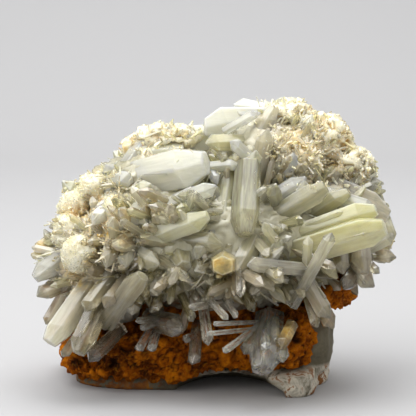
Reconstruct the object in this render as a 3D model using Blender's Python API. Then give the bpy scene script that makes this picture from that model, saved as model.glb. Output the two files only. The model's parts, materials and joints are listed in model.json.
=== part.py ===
"""Mango quartz cluster: milky yellow quartz crystals on a rusty limonite crust and a grey-green rock.

All lengths are in millimetres until a mesh is finished, and in metres in the scene.
A crystal is placed as it is seen from the front: across to the right of the middle, up from the
table at the front edge, and front, which is how far it comes forward out of the middle plane.
"""
import math
import random

import bmesh
import bpy
from mathutils import Matrix, Vector, noise

MM = 0.001
CLUSTER_NAME = "mango_quartz_cluster"

# The front view that the places are read in
VIEW_TILT = math.radians(10.0)
VIEW_DISTANCE = 900.0
VIEW_MIDDLE_UP = 96.0
VIEW_MIDDLE_HEIGHT = 90.0
TO_VIEWER = Vector((0.0, -math.cos(VIEW_TILT), math.sin(VIEW_TILT)))
VIEW_UPWARD = Vector((0.0, math.sin(VIEW_TILT), math.cos(VIEW_TILT)))

# Gaps between pieces that touch
FIT_GAP = 0.35
CRYSTAL_SIDES = 6
CRYSTAL_RADIUS = 0.54
LONGEST_CAP = 0.45
TIP_LEAN = 0.25
SLIM_CRYSTAL = 10.1
POINTED = 0.0
LOWEST_COVER = 54.0
COVER_JITTER = 0.8
COVER_ROOT = 0.8
GOLDEN_ANGLE = math.pi * (3.0 - math.sqrt(5.0))

# Host rock: a bowed slab with a thick right end, flat underneath where it stands
ROCK_CENTRE = Vector((-3.0, 14.0, 2.5))
ROCK_HALF = Vector((66.0, 30.0, 8.5))
ROCK_SQUARENESS = 0.6
ROCK_GRAIN = 22.0
ROCK_FOOT_CENTRE = Vector((41.0, 2.0, 5.0))
ROCK_FOOT_HALF = Vector((14.5, 34.0, 9.0))
ROCK_FOOT_SQUARENESS = 0.6
ROCK_END_CENTRE = Vector((49.0, 8.0, 20.0))
ROCK_END_HALF = Vector((15.5, 27.0, 17.0))
ROCK_END_SQUARENESS = 0.7
ROCK_ROUGHNESS = 1.4
ROCK_HOLLOW_CENTRE = Vector((10.0, -34.0, 0.0))
ROCK_HOLLOW_HALF = Vector((29.0, 46.0, 9.0))
ROCK_HOLLOW_ROUGHNESS = 0.6
ROCK_EDGE = Vector((2.0, 2.0, 3.5))
TABLE_SIZE = 400.0

# Limonite crust: a lumpy layer on the slab, a mound inside the crystals and a ridge at the right
CRUST_LAYER_CENTRE = Vector((-12.0, 12.0, 18.0))
CRUST_LAYER_HALF = Vector((63.0, 34.0, 16.5))
CRUST_MOUND_CENTRE = Vector((8.0, 10.0, 34.0))
CRUST_MOUND_HALF = Vector((46.0, 30.0, 28.0))
CRUST_BLOCK_CENTRE = Vector((35.0, -6.0, 27.0))
CRUST_BLOCK_HALF = Vector((18.5, 27.0, 15.0))
CRUST_RIDGE_CENTRE = Vector((59.0, 3.0, 52.0))
CRUST_RIDGE_HALF = Vector((17.0, 26.0, 15.0))
CRUST_ROUGHNESS = 3.2
CRUST_LAYER_SQUARENESS = 0.5
CRUST_MOUND_SQUARENESS = 0.9
CRUST_BLOCK_SQUARENESS = 0.7
PIT_ROUGHNESS = 0.4

# Quartz: the bases that the crystals spring from, and the small bumps of the sugary lumps
BASE_ROUGHNESS = 3.0
SUGARY_GRAIN = 5.0

# Colours
QUARTZ_COLOUR = (0.80, 0.78, 0.62, 1.0)
SMOKY_COLOUR = (0.55, 0.50, 0.42, 1.0)
LIMONITE_COLOUR = (0.33, 0.13, 0.02, 1.0)
ROCK_COLOUR = (0.13, 0.14, 0.10, 1.0)


def seen(across, up, front):
    """The place, in the layout's axes, of a point given as it looks from the front."""
    nearer = 1.0 - front / VIEW_DISTANCE
    rise = (up - VIEW_MIDDLE_UP) * nearer
    middle = Vector((across * nearer, 0.0, VIEW_MIDDLE_HEIGHT))
    return middle + VIEW_UPWARD * rise + TO_VIEWER * front


def clear_scene():
    for old in list(bpy.data.objects):
        bpy.data.objects.remove(old, do_unlink=True)


def new_collection(name):
    collection = bpy.data.collections.new(name)
    bpy.context.scene.collection.children.link(collection)
    return collection


def new_material(name, colour, roughness, transmission=0.0):
    material = bpy.data.materials.new(name)
    material.use_nodes = True
    shader = material.node_tree.nodes["Principled BSDF"]
    shader.inputs["Base Color"].default_value = colour
    shader.inputs["Roughness"].default_value = roughness
    shader.inputs["Transmission Weight"].default_value = transmission
    material.diffuse_color = colour
    return material


def finish_object(name, bm, collection, material=None):
    """Turns a mesh in millimetres into an object in metres."""
    bmesh.ops.scale(bm, vec=(MM, MM, MM), verts=bm.verts)
    bmesh.ops.recalc_face_normals(bm, faces=bm.faces)
    mesh = bpy.data.meshes.new(name)
    bm.to_mesh(mesh)
    bm.free()
    obj = bpy.data.objects.new(name, mesh)
    collection.objects.link(obj)
    if material is not None:
        mesh.materials.append(material)
    return obj


def make_guide(obj):
    """A shape that only cuts or is joined into another."""
    obj.hide_render = True
    obj.display_type = "WIRE"
    return obj


def combine(target, operation, operand=None, group=None):
    modifier = target.modifiers.new(operation.lower(), "BOOLEAN")
    modifier.solver = "EXACT"
    modifier.operation = operation
    if group is not None:
        modifier.operand_type = "COLLECTION"
        modifier.collection = group
    else:
        modifier.object = operand


def squared(value, squareness):
    return math.copysign(abs(value) ** squareness, value)


def lump_mesh(centre, half, fineness, roughness, squareness=1.0, grow=0.0, grain=14.0):
    """A rough ellipsoid, boxier as squareness falls; grow moves its whole surface outwards."""
    bm = bmesh.new()
    bmesh.ops.create_icosphere(bm, subdivisions=fineness, radius=1.0)
    for vert in bm.verts:
        way = vert.co.normalized()
        boxy = Vector([squared(part, squareness) for part in way])
        place = centre + Vector([size * part for size, part in zip(half, boxy)])
        swell = noise.fractal(place / grain, 1.0, 2.0, 3) * roughness
        slope = Vector([part / size for part, size in zip(way, half)]).normalized()
        vert.co = place + slope * (swell + grow)
    return bm


def add_lump(name, centre, half, collection, fineness=3, roughness=1.5, squareness=1.0, grow=0.0, grain=14.0):
    bm = lump_mesh(centre, half, fineness, roughness, squareness, grow, grain)
    return make_guide(finish_object(name, bm, collection))


def crystal_frame(base, tip, roll):
    """Axes with Z along the crystal and its broad side turned to the viewer."""
    along = (tip - base).normalized()
    facing = TO_VIEWER - along * TO_VIEWER.dot(along)
    if facing.length < 0.2:
        facing = VIEW_UPWARD - along * VIEW_UPWARD.dot(along)
    facing.normalize()
    side = facing.cross(along)
    axes = Matrix((side, facing, along)).transposed().to_4x4()
    return Matrix.Translation(base) @ axes @ Matrix.Rotation(math.radians(roll), 4, "Z")


def add_crystal(name, base, tip, width, collection, flat=0.8, roll=0.0, blunt=0.3, point=0.6, taper=0.9):
    """A six-sided prism that ends in six faces of uneven size, blunted by a small end face."""
    chance = random.Random(name)
    length = (tip - base).length
    cap = min(point * width, LONGEST_CAP * length)
    radius = CRYSTAL_RADIUS * width
    bm = bmesh.new()
    bmesh.ops.create_cone(
        bm, cap_ends=True, segments=CRYSTAL_SIDES, radius1=radius * taper, radius2=radius, depth=length - cap
    )
    bmesh.ops.translate(bm, vec=(0.0, 0.0, 0.5 * (length - cap)), verts=bm.verts)
    corner_size = [chance.uniform(0.88, 1.08) for _ in range(CRYSTAL_SIDES)]
    for vert in bm.verts:
        turn = math.atan2(vert.co.y, vert.co.x) / math.tau * CRYSTAL_SIDES
        size = corner_size[round(turn) % CRYSTAL_SIDES]
        vert.co.x *= size
        vert.co.y *= size * flat
    shoulder = max(bm.faces, key=lambda face: face.calc_center_median().z)
    raised = bmesh.ops.extrude_face_region(bm, geom=[shoulder])["geom"]
    end_verts = [part for part in raised if isinstance(part, bmesh.types.BMVert)]
    bmesh.ops.delete(bm, geom=[shoulder], context="FACES_ONLY")
    lean = Vector((chance.uniform(-TIP_LEAN, TIP_LEAN), chance.uniform(-TIP_LEAN, TIP_LEAN), 0.0)) * radius
    for vert in end_verts:
        vert.co.x = vert.co.x * blunt + lean.x
        vert.co.y = vert.co.y * blunt + lean.y * flat
        vert.co.z += cap
    if blunt == POINTED:
        bmesh.ops.pointmerge(bm, verts=end_verts, merge_co=Vector((lean.x, lean.y * flat, length)))
    bmesh.ops.transform(bm, matrix=crystal_frame(base, tip, roll), verts=bm.verts)
    return make_guide(finish_object(name, bm, collection))


def add_crystals(prefix, rows, collection):
    """Rows hold the base and tip as across, up, front; then width, flatness, roll and bluntness."""
    for number, (base, tip, width, flat, roll, blunt) in enumerate(rows, 1):
        name = f"{prefix}_{number:02d}"
        if width < SLIM_CRYSTAL:
            blunt = POINTED
        add_crystal(name, seen(*base), seen(*tip), width, collection, flat, roll, blunt)


def cover_lump(prefix, centre, half, facing, reach, count, length, width, collection):
    """Crystals that sprout outwards all over the side of a lump that looks along facing."""
    chance = random.Random(prefix)
    facing = Vector(facing).normalized()
    middle = seen(*centre)
    number = 0
    for step in range(count):
        height = 1.0 - 2.0 * (step + 0.5) / count
        ring = math.sqrt(1.0 - height * height)
        turn = step * GOLDEN_ANGLE
        way = Vector((ring * math.cos(turn), height, ring * math.sin(turn)))
        surface = middle + Vector([part * size for part, size in zip(way, half)])
        if way.dot(facing) < reach or surface.z < LOWEST_COVER:
            continue
        number += 1
        jitter = Vector([chance.uniform(-COVER_JITTER, COVER_JITTER) for _ in range(3)])
        outwards = (way + jitter).normalized()
        size = chance.uniform(0.6, 1.0)
        base = surface - outwards * (COVER_ROOT * width)
        tip = surface + outwards * (length * size)
        add_crystal(
            f"{prefix}_{number:02d}", base, tip, width * size, collection,
            flat=chance.uniform(0.65, 0.95), roll=chance.uniform(0.0, 60.0), blunt=POINTED,
        )


# Big crystals of the crown and the left shoulder
CROWN_CRYSTALS = [
    ((-36, 111, 6), (-1, 118, 28), 21, 0.6, 0, 0.55),
    ((0, 131, -12), (-43, 126, -8), 17, 0.8, 15, 0.6),
    ((-12, 124, -4), (-40, 121, -2), 12, 0.8, 30, 0.5),
    ((42, 139, -12), (-2, 138, -4), 17, 0.6, 0, 0.55),
    ((46, 140, -16), (12, 147, -8), 10, 0.7, 20, 0.45),
    ((8, 134, 6), (25, 144, 12), 5, 0.9, 0, 0.35),
    ((20, 120, 6), (32, 147, 4), 11, 0.7, 0, 0.5),
    ((22, 129, 4), (-2, 128, 12), 10, 0.7, 10, 0.5),
    ((30, 112, 8), (11, 130, 22), 6.5, 0.8, 0, 0.4),
    ((-6, 116, 12), (16, 118, 22), 6, 0.8, 0, 0.4),
    ((0, 118, 12), (5, 108, 23), 5.5, 0.8, 0, 0.3),
    ((44, 130, 2), (53, 143, 0), 8, 0.8, 10, 0.4),
    ((24, 110, 12), (30, 136, 20), 10, 0.7, 0, 0.5),
    ((36, 106, 10), (43, 124, 20), 9, 0.7, 0, 0.5),
    ((16, 106, 14), (25, 125, 25), 8, 0.7, 0, 0.5),
]

# Upright and slanting crystals of the middle
MIDDLE_CRYSTALS = [
    ((20.5, 119, 20), (18.5, 83, 36), 14.5, 0.75, 30, 0.6),
    ((11, 116, 14), (7, 84, 30), 12, 0.8, 0, 0.5),
    ((-34, 79, 26), (-0.5, 92, 42), 11.5, 0.8, 0, 0.45),
    ((27, 88, 22), (15, 64, 40), 11, 0.7, 0, 0.35),
    ((16, 74, 34), (16.5, 51, 45), 4.6, 0.9, 0, 0.35),
    ((42, 68, 24), (27, 88.5, 45), 5.2, 0.9, 0, 0.45),
    ((8, 70, 16), (7.5, 67, 46), 13.5, 0.95, 0, 0.75),
    ((12, 72, 20), (4, 50, 37), 9.5, 0.8, 0, 0.4),
    ((50, 65, 34), (19, 68, 46), 7.6, 0.8, 0, 0.5),
    ((42, 47, 30), (62.5, 84, 48), 6.8, 0.9, 0, 0.4),
    ((49, 66, 34), (50, 82, 43), 5, 0.9, 0, 0.3),
    ((-8, 76, 24), (-2, 62, 38), 8, 0.9, 0, 0.4),
    ((-22, 90, 24), (-4, 97, 36), 7, 0.8, 20, 0.4),
    ((-30, 96, 20), (-42, 88, 34), 9, 0.8, 0, 0.5),
    ((-40, 100, 16), (-30, 88, 32), 9, 0.8, 0, 0.5),
    ((-42, 76, 20), (-24, 67, 38), 10, 0.8, 0, 0.5),
    ((-16, 80, 14), (-12, 67, 38), 12, 0.9, 0, 0.6),
    ((-20, 64, 20), (-6, 56, 34), 8, 0.8, 0, 0.4),
    ((-46, 88, 18), (-50, 66, 36), 9, 0.8, 0, 0.5),
    ((-36, 86, 20), (-42, 66, 37), 8, 0.8, 0, 0.5),
    ((-28, 94, 22), (5, 107, 33), 8.8, 0.7, 0, 0.5),
    ((-20, 82, 26), (8, 78, 40), 10, 0.7, 10, 0.5),
    ((28, 88, 24), (36, 72, 40), 9, 0.7, 0, 0.5),
    ((30, 78, 30), (30, 62, 42), 8.8, 0.8, 0, 0.5),
    ((-8, 74, 24), (-20, 59, 38), 9, 0.8, 0, 0.5),
    ((6, 92, 26), (-6, 70, 38), 9, 0.8, 0, 0.5),
]

# The long yellow crystals and the translucent ones of the right side
RIGHT_CRYSTALS = [
    ((38, 80, 20), (84, 96, 30), 12, 0.8, 0, 0.5),
    ((34, 71, 22), (88.5, 87, 38), 16, 0.75, 15, 0.55),
    ((52, 110, 2), (91, 93, 8), 14, 0.6, 0, 0.5),
    ((58, 104, 10), (84, 95, 22), 8, 0.6, 0, 0.5),
    ((80, 110, -8), (92, 75, 0), 10, 0.7, 0, 0.4),
    ((24, 96, 16), (50, 111, 24), 10, 0.7, 0, 0.4),
    ((49, 94, 18), (47, 110, 28), 6.5, 0.8, 0, 0.45),
    ((50, 92, 14), (70, 105, 20), 10.5, 0.7, 0, 0.5),
    ((65, 84, 8), (67, 63, 28), 8, 0.8, 0, 0.5),
    ((76, 82, 8), (77, 63, 24), 12, 0.7, 0, 0.35),
    ((66, 74, 10), (83, 55.5, 20), 9.5, 0.8, 0, 0.4),
    ((74, 74, 6), (86, 63, 14), 4.5, 0.8, 0, 0.4),
    ((72, 72, 8), (93.5, 83, 8), 8, 0.8, 0, 0.4),
    ((78, 74, -4), (94.5, 71, 4), 7, 0.8, 0, 0.6),
    ((80, 72, 4), (67, 55, 24), 8, 0.8, 0, 0.4),
    ((47, 64, 32), (61, 40, 37), 9, 0.7, 0, 0.4),
    ((56, 48, 30), (63, 35, 32), 8, 0.8, 0, 0.6),
    ((40, 66, 20), (30, 54, 36), 8, 0.8, 0, 0.5),
    ((34, 60, 22), (46, 50, 34), 8, 0.8, 0, 0.5),
    ((27, 88, 18), (59, 107, 29), 12, 0.6, 0, 0.5),
    ((50, 52, 26), (55, 36, 36), 6, 0.8, 0, 0.4),
]

# The fan of the left side, whose tips point left and down
LEFT_CRYSTALS = [
    ((-66, 86, -10), (-87, 74.5, 0), 7, 0.8, 0, 0.4),
    ((-62, 79, 4), (-86.5, 60.5, 12), 12, 0.8, 0, 0.45),
    ((-68, 60, 2), (-86.5, 52, 10), 8.5, 0.8, 0, 0.4),
    ((-70, 58, -6), (-81.5, 37.5, 4), 5.5, 0.8, 0, 0.35),
    ((-56, 62, 12), (-79, 28.5, 28), 13, 0.7, 0, 0.6),
    ((-50, 58, 14), (-65, 23.5, 32), 12.5, 0.7, 0, 0.5),
    ((-60, 40, 10), (-73, 21, 24), 5.5, 0.8, 0, 0.4),
    ((-43, 36, 12), (-60, 19.5, 30), 8, 0.8, 0, 0.5),
    ((-51, 38, 20), (-32.5, 63, 44), 11.5, 0.8, 0, 0.55),
    ((-26, 66, 20), (-25.5, 51.5, 38), 7, 0.9, 0, 0.4),
    ((-46, 66, 18), (-62, 44, 34), 8, 0.8, 0, 0.5),
    ((-36, 66, 20), (-52, 46, 36), 8.5, 0.8, 0, 0.5),
    ((-60, 96, -6), (-73.5, 110, -2), 9.5, 0.8, 0, 0.5),
    ((-60, 90, 0), (-80, 86, 2), 8, 0.8, 0, 0.5),
    ((-44, 103, 10), (-58, 87, 26), 9.5, 0.8, 0, 0.6),
    ((-46, 108, -2), (-52, 118, 6), 9, 0.8, 0, 0.5),
    ((-50, 104, 6), (-38, 114, 18), 9, 0.7, 0, 0.5),
    ((-40, 102, 12), (-28, 108, 24), 8, 0.8, 0, 0.5),
    ((-34, 58, 20), (-38, 42, 35), 6.5, 0.8, 0, 0.4),
]

# Crystals and clear prisms that hang in the hollow below the middle
LOWER_CRYSTALS = [
    ((-10, 62, 22), (10, 40, 43), 3.8, 0.9, 0, 0.3),
    ((-4, 58, 18), (0.5, 27, 38), 6, 0.9, 0, 0.4),
    ((4, 62, 24), (-2, 46, 36), 6, 0.9, 0, 0.3),
    ((-16, 64, 20), (-22, 49, 30), 6, 0.8, 0, 0.3),
    ((14, 60, 24), (24, 44, 36), 6, 0.9, 0, 0.4),
    ((12, 50, 24), (-10, 46, 43), 4, 0.9, 0, 0.3),
    ((2, 60, 22), (15, 41, 42), 3.8, 0.9, 0, 0.3),
    ((-16, 58, 20), (-7, 39, 39), 5, 0.9, 0, 0.3),
    ((-26, 60, 18), (-25, 44, 34), 5.5, 0.8, 0, 0.3),
]

# A stubby clear crystal that grows by itself out of the limonite, with its side crystals
STUBBY_CRYSTALS = [
    ((31, 42, 12), (28, 14.5, 44), 17.5, 0.75, 10, 0.55),
    ((25, 34, 22), (18, 23, 36), 7, 0.9, 0, 0.5),
    ((28, 36, 22), (29, 25.5, 50), 5.2, 0.9, 0, 0.5),
    ((34, 34, 26), (37.5, 18, 40), 8, 0.8, 0, 0.5),
    ((29, 40, 17), (7.5, 24, 50), 3.8, 0.9, 0, 0.3),
    ((28, 36, 20), (-1, 33, 48), 2.8, 0.9, 0, 0.3),
    ((28, 39, 18), (2.5, 38, 47), 2.6, 0.9, 0, 0.3),
    ((42, 38, 22), (36, 26, 40), 7, 0.8, 0, 0.5),
]

# A smoky wedge with small clear tips at the lower left
SMOKY_CRYSTALS = [
    ((-30, 41, 4), (-12, 36.5, 34), 12.5, 0.7, 0, 0.3),
    ((-24, 41, 12), (-36, 39.5, 32), 3.6, 0.9, 0, 0.3),
    ((-28, 37, 8), (-35, 24.5, 30), 5, 0.9, 0, 0.35),
    ((-25, 37, 8), (-28.5, 24.5, 31), 5, 0.9, 0, 0.35),
    ((-21, 40, 12), (-34, 35.5, 30), 3.4, 0.9, 0, 0.3),
]

# A brown-tinted crystal whose tip hangs down in front of the limonite
BROWN_CRYSTALS = [
    ((-5, 38, 8), (-7, 17.5, 36), 7, 0.8, 0, 0.2),
    ((-5, 33, 14), (-12, 30, 32), 4.6, 0.9, 0, 0.3),
]

# Round crystals with a sugary skin, and sugary lumps of the crest: place, half sizes, roughness
SUGARY_LUMPS = [
    ((-69, 84, 12), (9, 8, 9), 1.2),
    ((-64, 73, 22), (9.4, 9, 9.4), 0.8),
    ((-67, 97, 4), (8, 8, 7), 1.4),
    ((-57, 106, 2), (9, 9, 8), 1.6),
    ((58, 130, -8), (14, 14, 13), 2.4),
    ((70, 116, -8), (13, 14, 11), 2.4),
    ((40, 141, -12), (14, 14, 9), 2.0),
    ((46, 120, 2), (12, 12, 10), 2.6),
    ((-20, 131, -10), (18, 9, 7), 1.6),
    ((-44, 92, 12), (12, 14, 12), 2.0),
]

# The grown-together bases that every crystal springs from: place and half sizes
QUARTZ_BASES = [
    ((4, 78, -3), (67, 38, 34)),
    ((-50, 72, -4), (28, 27, 26)),
    ((-24, 106, -8), (36, 25, 20)),
    ((32, 118, -12), (33, 27, 25)),
    ((60, 94, -12), (24, 25, 24)),
    ((-50, 50, 2), (17, 18, 14)),
    ((64, 77, -6), (18, 20, 12)),
]

# Covers of the back, top and sides: name, base lump, the way they look, reach, count, length, width
COVERS = [
    ("back_middle", 0, (0.0, 1.0, 0.0), 0.35, 34, 24.0, 21.0),
    ("back_left", 1, (-0.5, 1.0, 0.0), 0.35, 14, 18.0, 17.0),
    ("back_shoulder", 2, (-0.1, 0.9, 0.6), 0.50, 14, 17.0, 18.0),
    ("back_crown", 3, (0.0, 1.0, 0.5), 0.45, 14, 17.0, 18.0),
    ("back_right", 4, (0.5, 1.0, 0.2), 0.45, 13, 16.0, 17.0),
]

# Pits in the limonite: place and half sizes
CRUST_PITS = [
    ((-59, 18, 6), (9, 9, 5)),
    ((-28, 17, 12), (5, 6, 3.5)),
    ((-40, 28, 12), (6, 7, 4.5)),
    ((4, 27, 14), (6, 7, 5)),
    ((-16, 29, 14), (6, 7, 5)),
    ((19, 23, 22), (3.5, 7, 6)),
]


def rock_lumps():
    """The lumps of the thick right end, as name, centre, half sizes and squareness."""
    yield "rock_foot", ROCK_FOOT_CENTRE, ROCK_FOOT_HALF, ROCK_FOOT_SQUARENESS
    yield "rock_end", ROCK_END_CENTRE, ROCK_END_HALF, ROCK_END_SQUARENESS


def build_host_rock(parts, guides, material):
    body = lump_mesh(ROCK_CENTRE, ROCK_HALF, 3, ROCK_ROUGHNESS, ROCK_SQUARENESS, grain=ROCK_GRAIN)
    rock = finish_object("host_rock", body, parts, material)
    for name, centre, half, squareness in rock_lumps():
        combine(rock, "UNION", add_lump(name, centre, half, guides, 2, ROCK_ROUGHNESS, squareness))
    hollow = add_lump("rock_hollow", ROCK_HOLLOW_CENTRE, ROCK_HOLLOW_HALF, guides, 3, ROCK_HOLLOW_ROUGHNESS)
    combine(rock, "DIFFERENCE", hollow)
    combine(rock, "DIFFERENCE", add_ground(guides))
    return rock


def add_ground(guides):
    """Everything below the table, which cuts the flat spots that the rock stands on."""
    bm = bmesh.new()
    bmesh.ops.create_cube(bm, size=TABLE_SIZE)
    bmesh.ops.translate(bm, vec=(0.0, 0.0, -0.5 * TABLE_SIZE), verts=bm.verts)
    return make_guide(finish_object("below_the_table", bm, guides))


def crust_lumps(grow):
    """The lumps that make up the limonite, as name, mesh."""
    rough = CRUST_ROUGHNESS
    yield "layer", lump_mesh(CRUST_LAYER_CENTRE, CRUST_LAYER_HALF, 3, rough, CRUST_LAYER_SQUARENESS, grow)
    yield "mound", lump_mesh(CRUST_MOUND_CENTRE, CRUST_MOUND_HALF, 2, rough, CRUST_MOUND_SQUARENESS, grow)
    yield "block", lump_mesh(CRUST_BLOCK_CENTRE, CRUST_BLOCK_HALF, 2, rough, CRUST_BLOCK_SQUARENESS, grow)
    yield "ridge", lump_mesh(CRUST_RIDGE_CENTRE, CRUST_RIDGE_HALF, 2, rough, CRUST_MOUND_SQUARENESS, grow)


def build_limonite(parts, guides, material):
    lumps = list(crust_lumps(0.0))
    crust = finish_object("limonite_crust", lumps[0][1], parts, material)
    for name, bm in lumps[1:]:
        combine(crust, "UNION", make_guide(finish_object(f"crust_{name}", bm, guides)))
    for number, (centre, half) in enumerate(CRUST_PITS, 1):
        pit = add_lump(f"crust_pit_{number}", seen(*centre), half, guides, 1, PIT_ROUGHNESS)
        combine(crust, "DIFFERENCE", pit)
    slab = lump_mesh(ROCK_CENTRE, ROCK_HALF, 3, ROCK_ROUGHNESS, ROCK_SQUARENESS, FIT_GAP, ROCK_GRAIN)
    combine(crust, "DIFFERENCE", make_guide(finish_object("rock_slab_with_gap", slab, guides)))
    for name, centre, half, squareness in rock_lumps():
        lump = add_lump(f"{name}_with_gap", centre, half, guides, 2, ROCK_ROUGHNESS, squareness, FIT_GAP)
        combine(crust, "DIFFERENCE", lump)
    hollow_half = ROCK_HOLLOW_HALF + ROCK_EDGE
    hollow = add_lump("crust_hollow", ROCK_HOLLOW_CENTRE, hollow_half, guides, 3, ROCK_HOLLOW_ROUGHNESS)
    combine(crust, "DIFFERENCE", hollow)
    return crust


def build_crystal_group(name, rows, parts, guides, material, bed):
    """A few crystals joined into one solid and cut away where the limonite holds them."""
    base, tip, width, flat, roll, blunt = rows[0]
    group = add_crystal(name, seen(*base), seen(*tip), width, parts, flat, roll, blunt)
    group.hide_render = False
    group.display_type = "TEXTURED"
    group.data.materials.append(material)
    if len(rows) > 1:
        members = bpy.data.collections.new(f"{name}_members")
        guides.children.link(members)
        add_crystals(f"{name}_member", rows[1:], members)
        combine(group, "UNION", group=members)
    for lump in bed:
        combine(group, "DIFFERENCE", lump)
    return group


def build_quartz(parts, guides, material, bed):
    members = bpy.data.collections.new("quartz_members")
    guides.children.link(members)
    centre, half = QUARTZ_BASES[0]
    body = lump_mesh(seen(*centre), Vector(half), 2, BASE_ROUGHNESS)
    quartz = finish_object("quartz_cluster", body, parts, material)
    for number, (centre, half) in enumerate(QUARTZ_BASES[1:], 2):
        add_lump(f"quartz_base_{number}", seen(*centre), Vector(half), members, 2, BASE_ROUGHNESS)
    for number, (centre, half, roughness) in enumerate(SUGARY_LUMPS, 1):
        lump_name = f"sugary_{number:02d}"
        add_lump(lump_name, seen(*centre), Vector(half), members, 2, roughness, grain=SUGARY_GRAIN)
    add_crystals("crown", CROWN_CRYSTALS, members)
    add_crystals("middle", MIDDLE_CRYSTALS, members)
    add_crystals("right", RIGHT_CRYSTALS, members)
    add_crystals("left", LEFT_CRYSTALS, members)
    add_crystals("lower", LOWER_CRYSTALS, members)
    for name, number, facing, reach, count, length, width in COVERS:
        centre, half = QUARTZ_BASES[number]
        cover_lump(name, centre, half, facing, reach, count, length, width, members)
    combine(quartz, "UNION", group=members)
    for lump in bed:
        combine(quartz, "DIFFERENCE", lump)
    return quartz


def stand_on_origin(pieces, parts):
    """Moves everything together so that the middle of the underside of the pieces' box is the origin."""
    graph = bpy.context.evaluated_depsgraph_get()
    corners = [Vector(corner) for piece in pieces for corner in piece.evaluated_get(graph).bound_box]
    low = Vector([min(corner[side] for corner in corners) for side in range(3)])
    high = Vector([max(corner[side] for corner in corners) for side in range(3)])
    stand = bpy.data.objects.new("cluster_stand", None)
    parts.objects.link(stand)
    stand.location = Vector((-(low.x + high.x) / 2.0, -(low.y + high.y) / 2.0, -low.z))
    for obj in list(bpy.data.objects):
        if obj is not stand:
            obj.parent = stand


def main():
    clear_scene()
    parts = new_collection(CLUSTER_NAME)
    guides = new_collection("cutters_and_members")
    milky = new_material("milky_quartz", QUARTZ_COLOUR, 0.25, 0.3)
    smoky = new_material("smoky_quartz", SMOKY_COLOUR, 0.15, 0.6)
    limonite = new_material("limonite", LIMONITE_COLOUR, 0.9)
    stone = new_material("grey_green_rock", ROCK_COLOUR, 0.85)
    rock = build_host_rock(parts, guides, stone)
    crust = build_limonite(parts, guides, limonite)
    bed = []
    for name, bm in crust_lumps(FIT_GAP):
        bed.append(make_guide(finish_object(f"bed_{name}", bm, guides)))
    quartz = build_quartz(parts, guides, milky, bed)
    stubby = build_crystal_group("stubby_front_crystals", STUBBY_CRYSTALS, parts, guides, smoky, bed)
    wedge = build_crystal_group("smoky_wedge_crystals", SMOKY_CRYSTALS, parts, guides, smoky, bed)
    brown = build_crystal_group("brown_tip_crystals", BROWN_CRYSTALS, parts, guides, smoky, bed)
    stand_on_origin([rock, crust, quartz, stubby, wedge, brown], parts)


main()
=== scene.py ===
import json
import math
import random

import bmesh
import bpy
import numpy as np
from mathutils import Matrix, Vector, noise
from mathutils.bvhtree import BVHTree

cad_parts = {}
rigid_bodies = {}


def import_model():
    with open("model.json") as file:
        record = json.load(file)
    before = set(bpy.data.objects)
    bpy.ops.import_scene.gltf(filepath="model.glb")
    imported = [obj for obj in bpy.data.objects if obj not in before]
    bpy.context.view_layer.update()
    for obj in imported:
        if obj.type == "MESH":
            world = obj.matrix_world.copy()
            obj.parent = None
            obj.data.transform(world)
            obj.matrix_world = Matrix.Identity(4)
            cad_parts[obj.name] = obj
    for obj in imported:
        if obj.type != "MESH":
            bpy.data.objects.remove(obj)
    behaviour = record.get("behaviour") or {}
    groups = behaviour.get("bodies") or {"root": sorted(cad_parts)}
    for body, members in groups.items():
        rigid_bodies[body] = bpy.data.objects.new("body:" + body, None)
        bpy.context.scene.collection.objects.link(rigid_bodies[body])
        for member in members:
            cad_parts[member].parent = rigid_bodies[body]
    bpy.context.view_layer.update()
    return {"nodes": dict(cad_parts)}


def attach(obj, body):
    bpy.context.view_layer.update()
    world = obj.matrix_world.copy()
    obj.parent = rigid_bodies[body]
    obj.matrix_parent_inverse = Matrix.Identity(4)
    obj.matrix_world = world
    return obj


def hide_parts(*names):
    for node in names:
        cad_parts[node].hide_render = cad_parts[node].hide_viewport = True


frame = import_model()

# Lengths are in millimetres until a mesh is finished, as in the cluster's solids.
# A crystal is placed as it is seen from the front: across, up from the table, and front.
MM = 0.001
VIEW_TILT = math.radians(10.0)
VIEW_DISTANCE = 900.0
VIEW_MIDDLE_UP = 96.0
VIEW_MIDDLE_HEIGHT = 90.0
VIEW_WIDTH = 208.0
TO_VIEWER = Vector((0.0, -math.cos(VIEW_TILT), math.sin(VIEW_TILT)))
VIEW_UPWARD = Vector((0.0, math.sin(VIEW_TILT), math.cos(VIEW_TILT)))
LAYOUT_SHIFT = Vector((-3.594, 4.275, 0.0))
CRYSTAL_SIDES = 6
SLIM_CRYSTAL = 10.1
POINTED = 0.0
TAPER = 0.9
TIP_LENGTH = 0.6
LONGEST_TIP = 0.45
LUMP_FINENESS = 4
FREEDOM = 2.2
FREE_MIDDLE_UP = 14.0
FREE_HALF_WIDTH = 72.0
FREE_HALF_HEIGHT = 52.0
LOWEST_COVER = 54.0
SIDE_GROWTH_WIDTH = 7.5
CLEAR_STANDING_WIDTH = 10.0
CLOUDY_LIMIT = 0.75
BURIED = 0.5
SPAN_STEPS = 6
FAN_CENTRE = Vector((-2.0, 10.0, 68.0))
GOLDEN_ANGLE = math.pi * (3.0 - math.sqrt(5.0))

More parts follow.
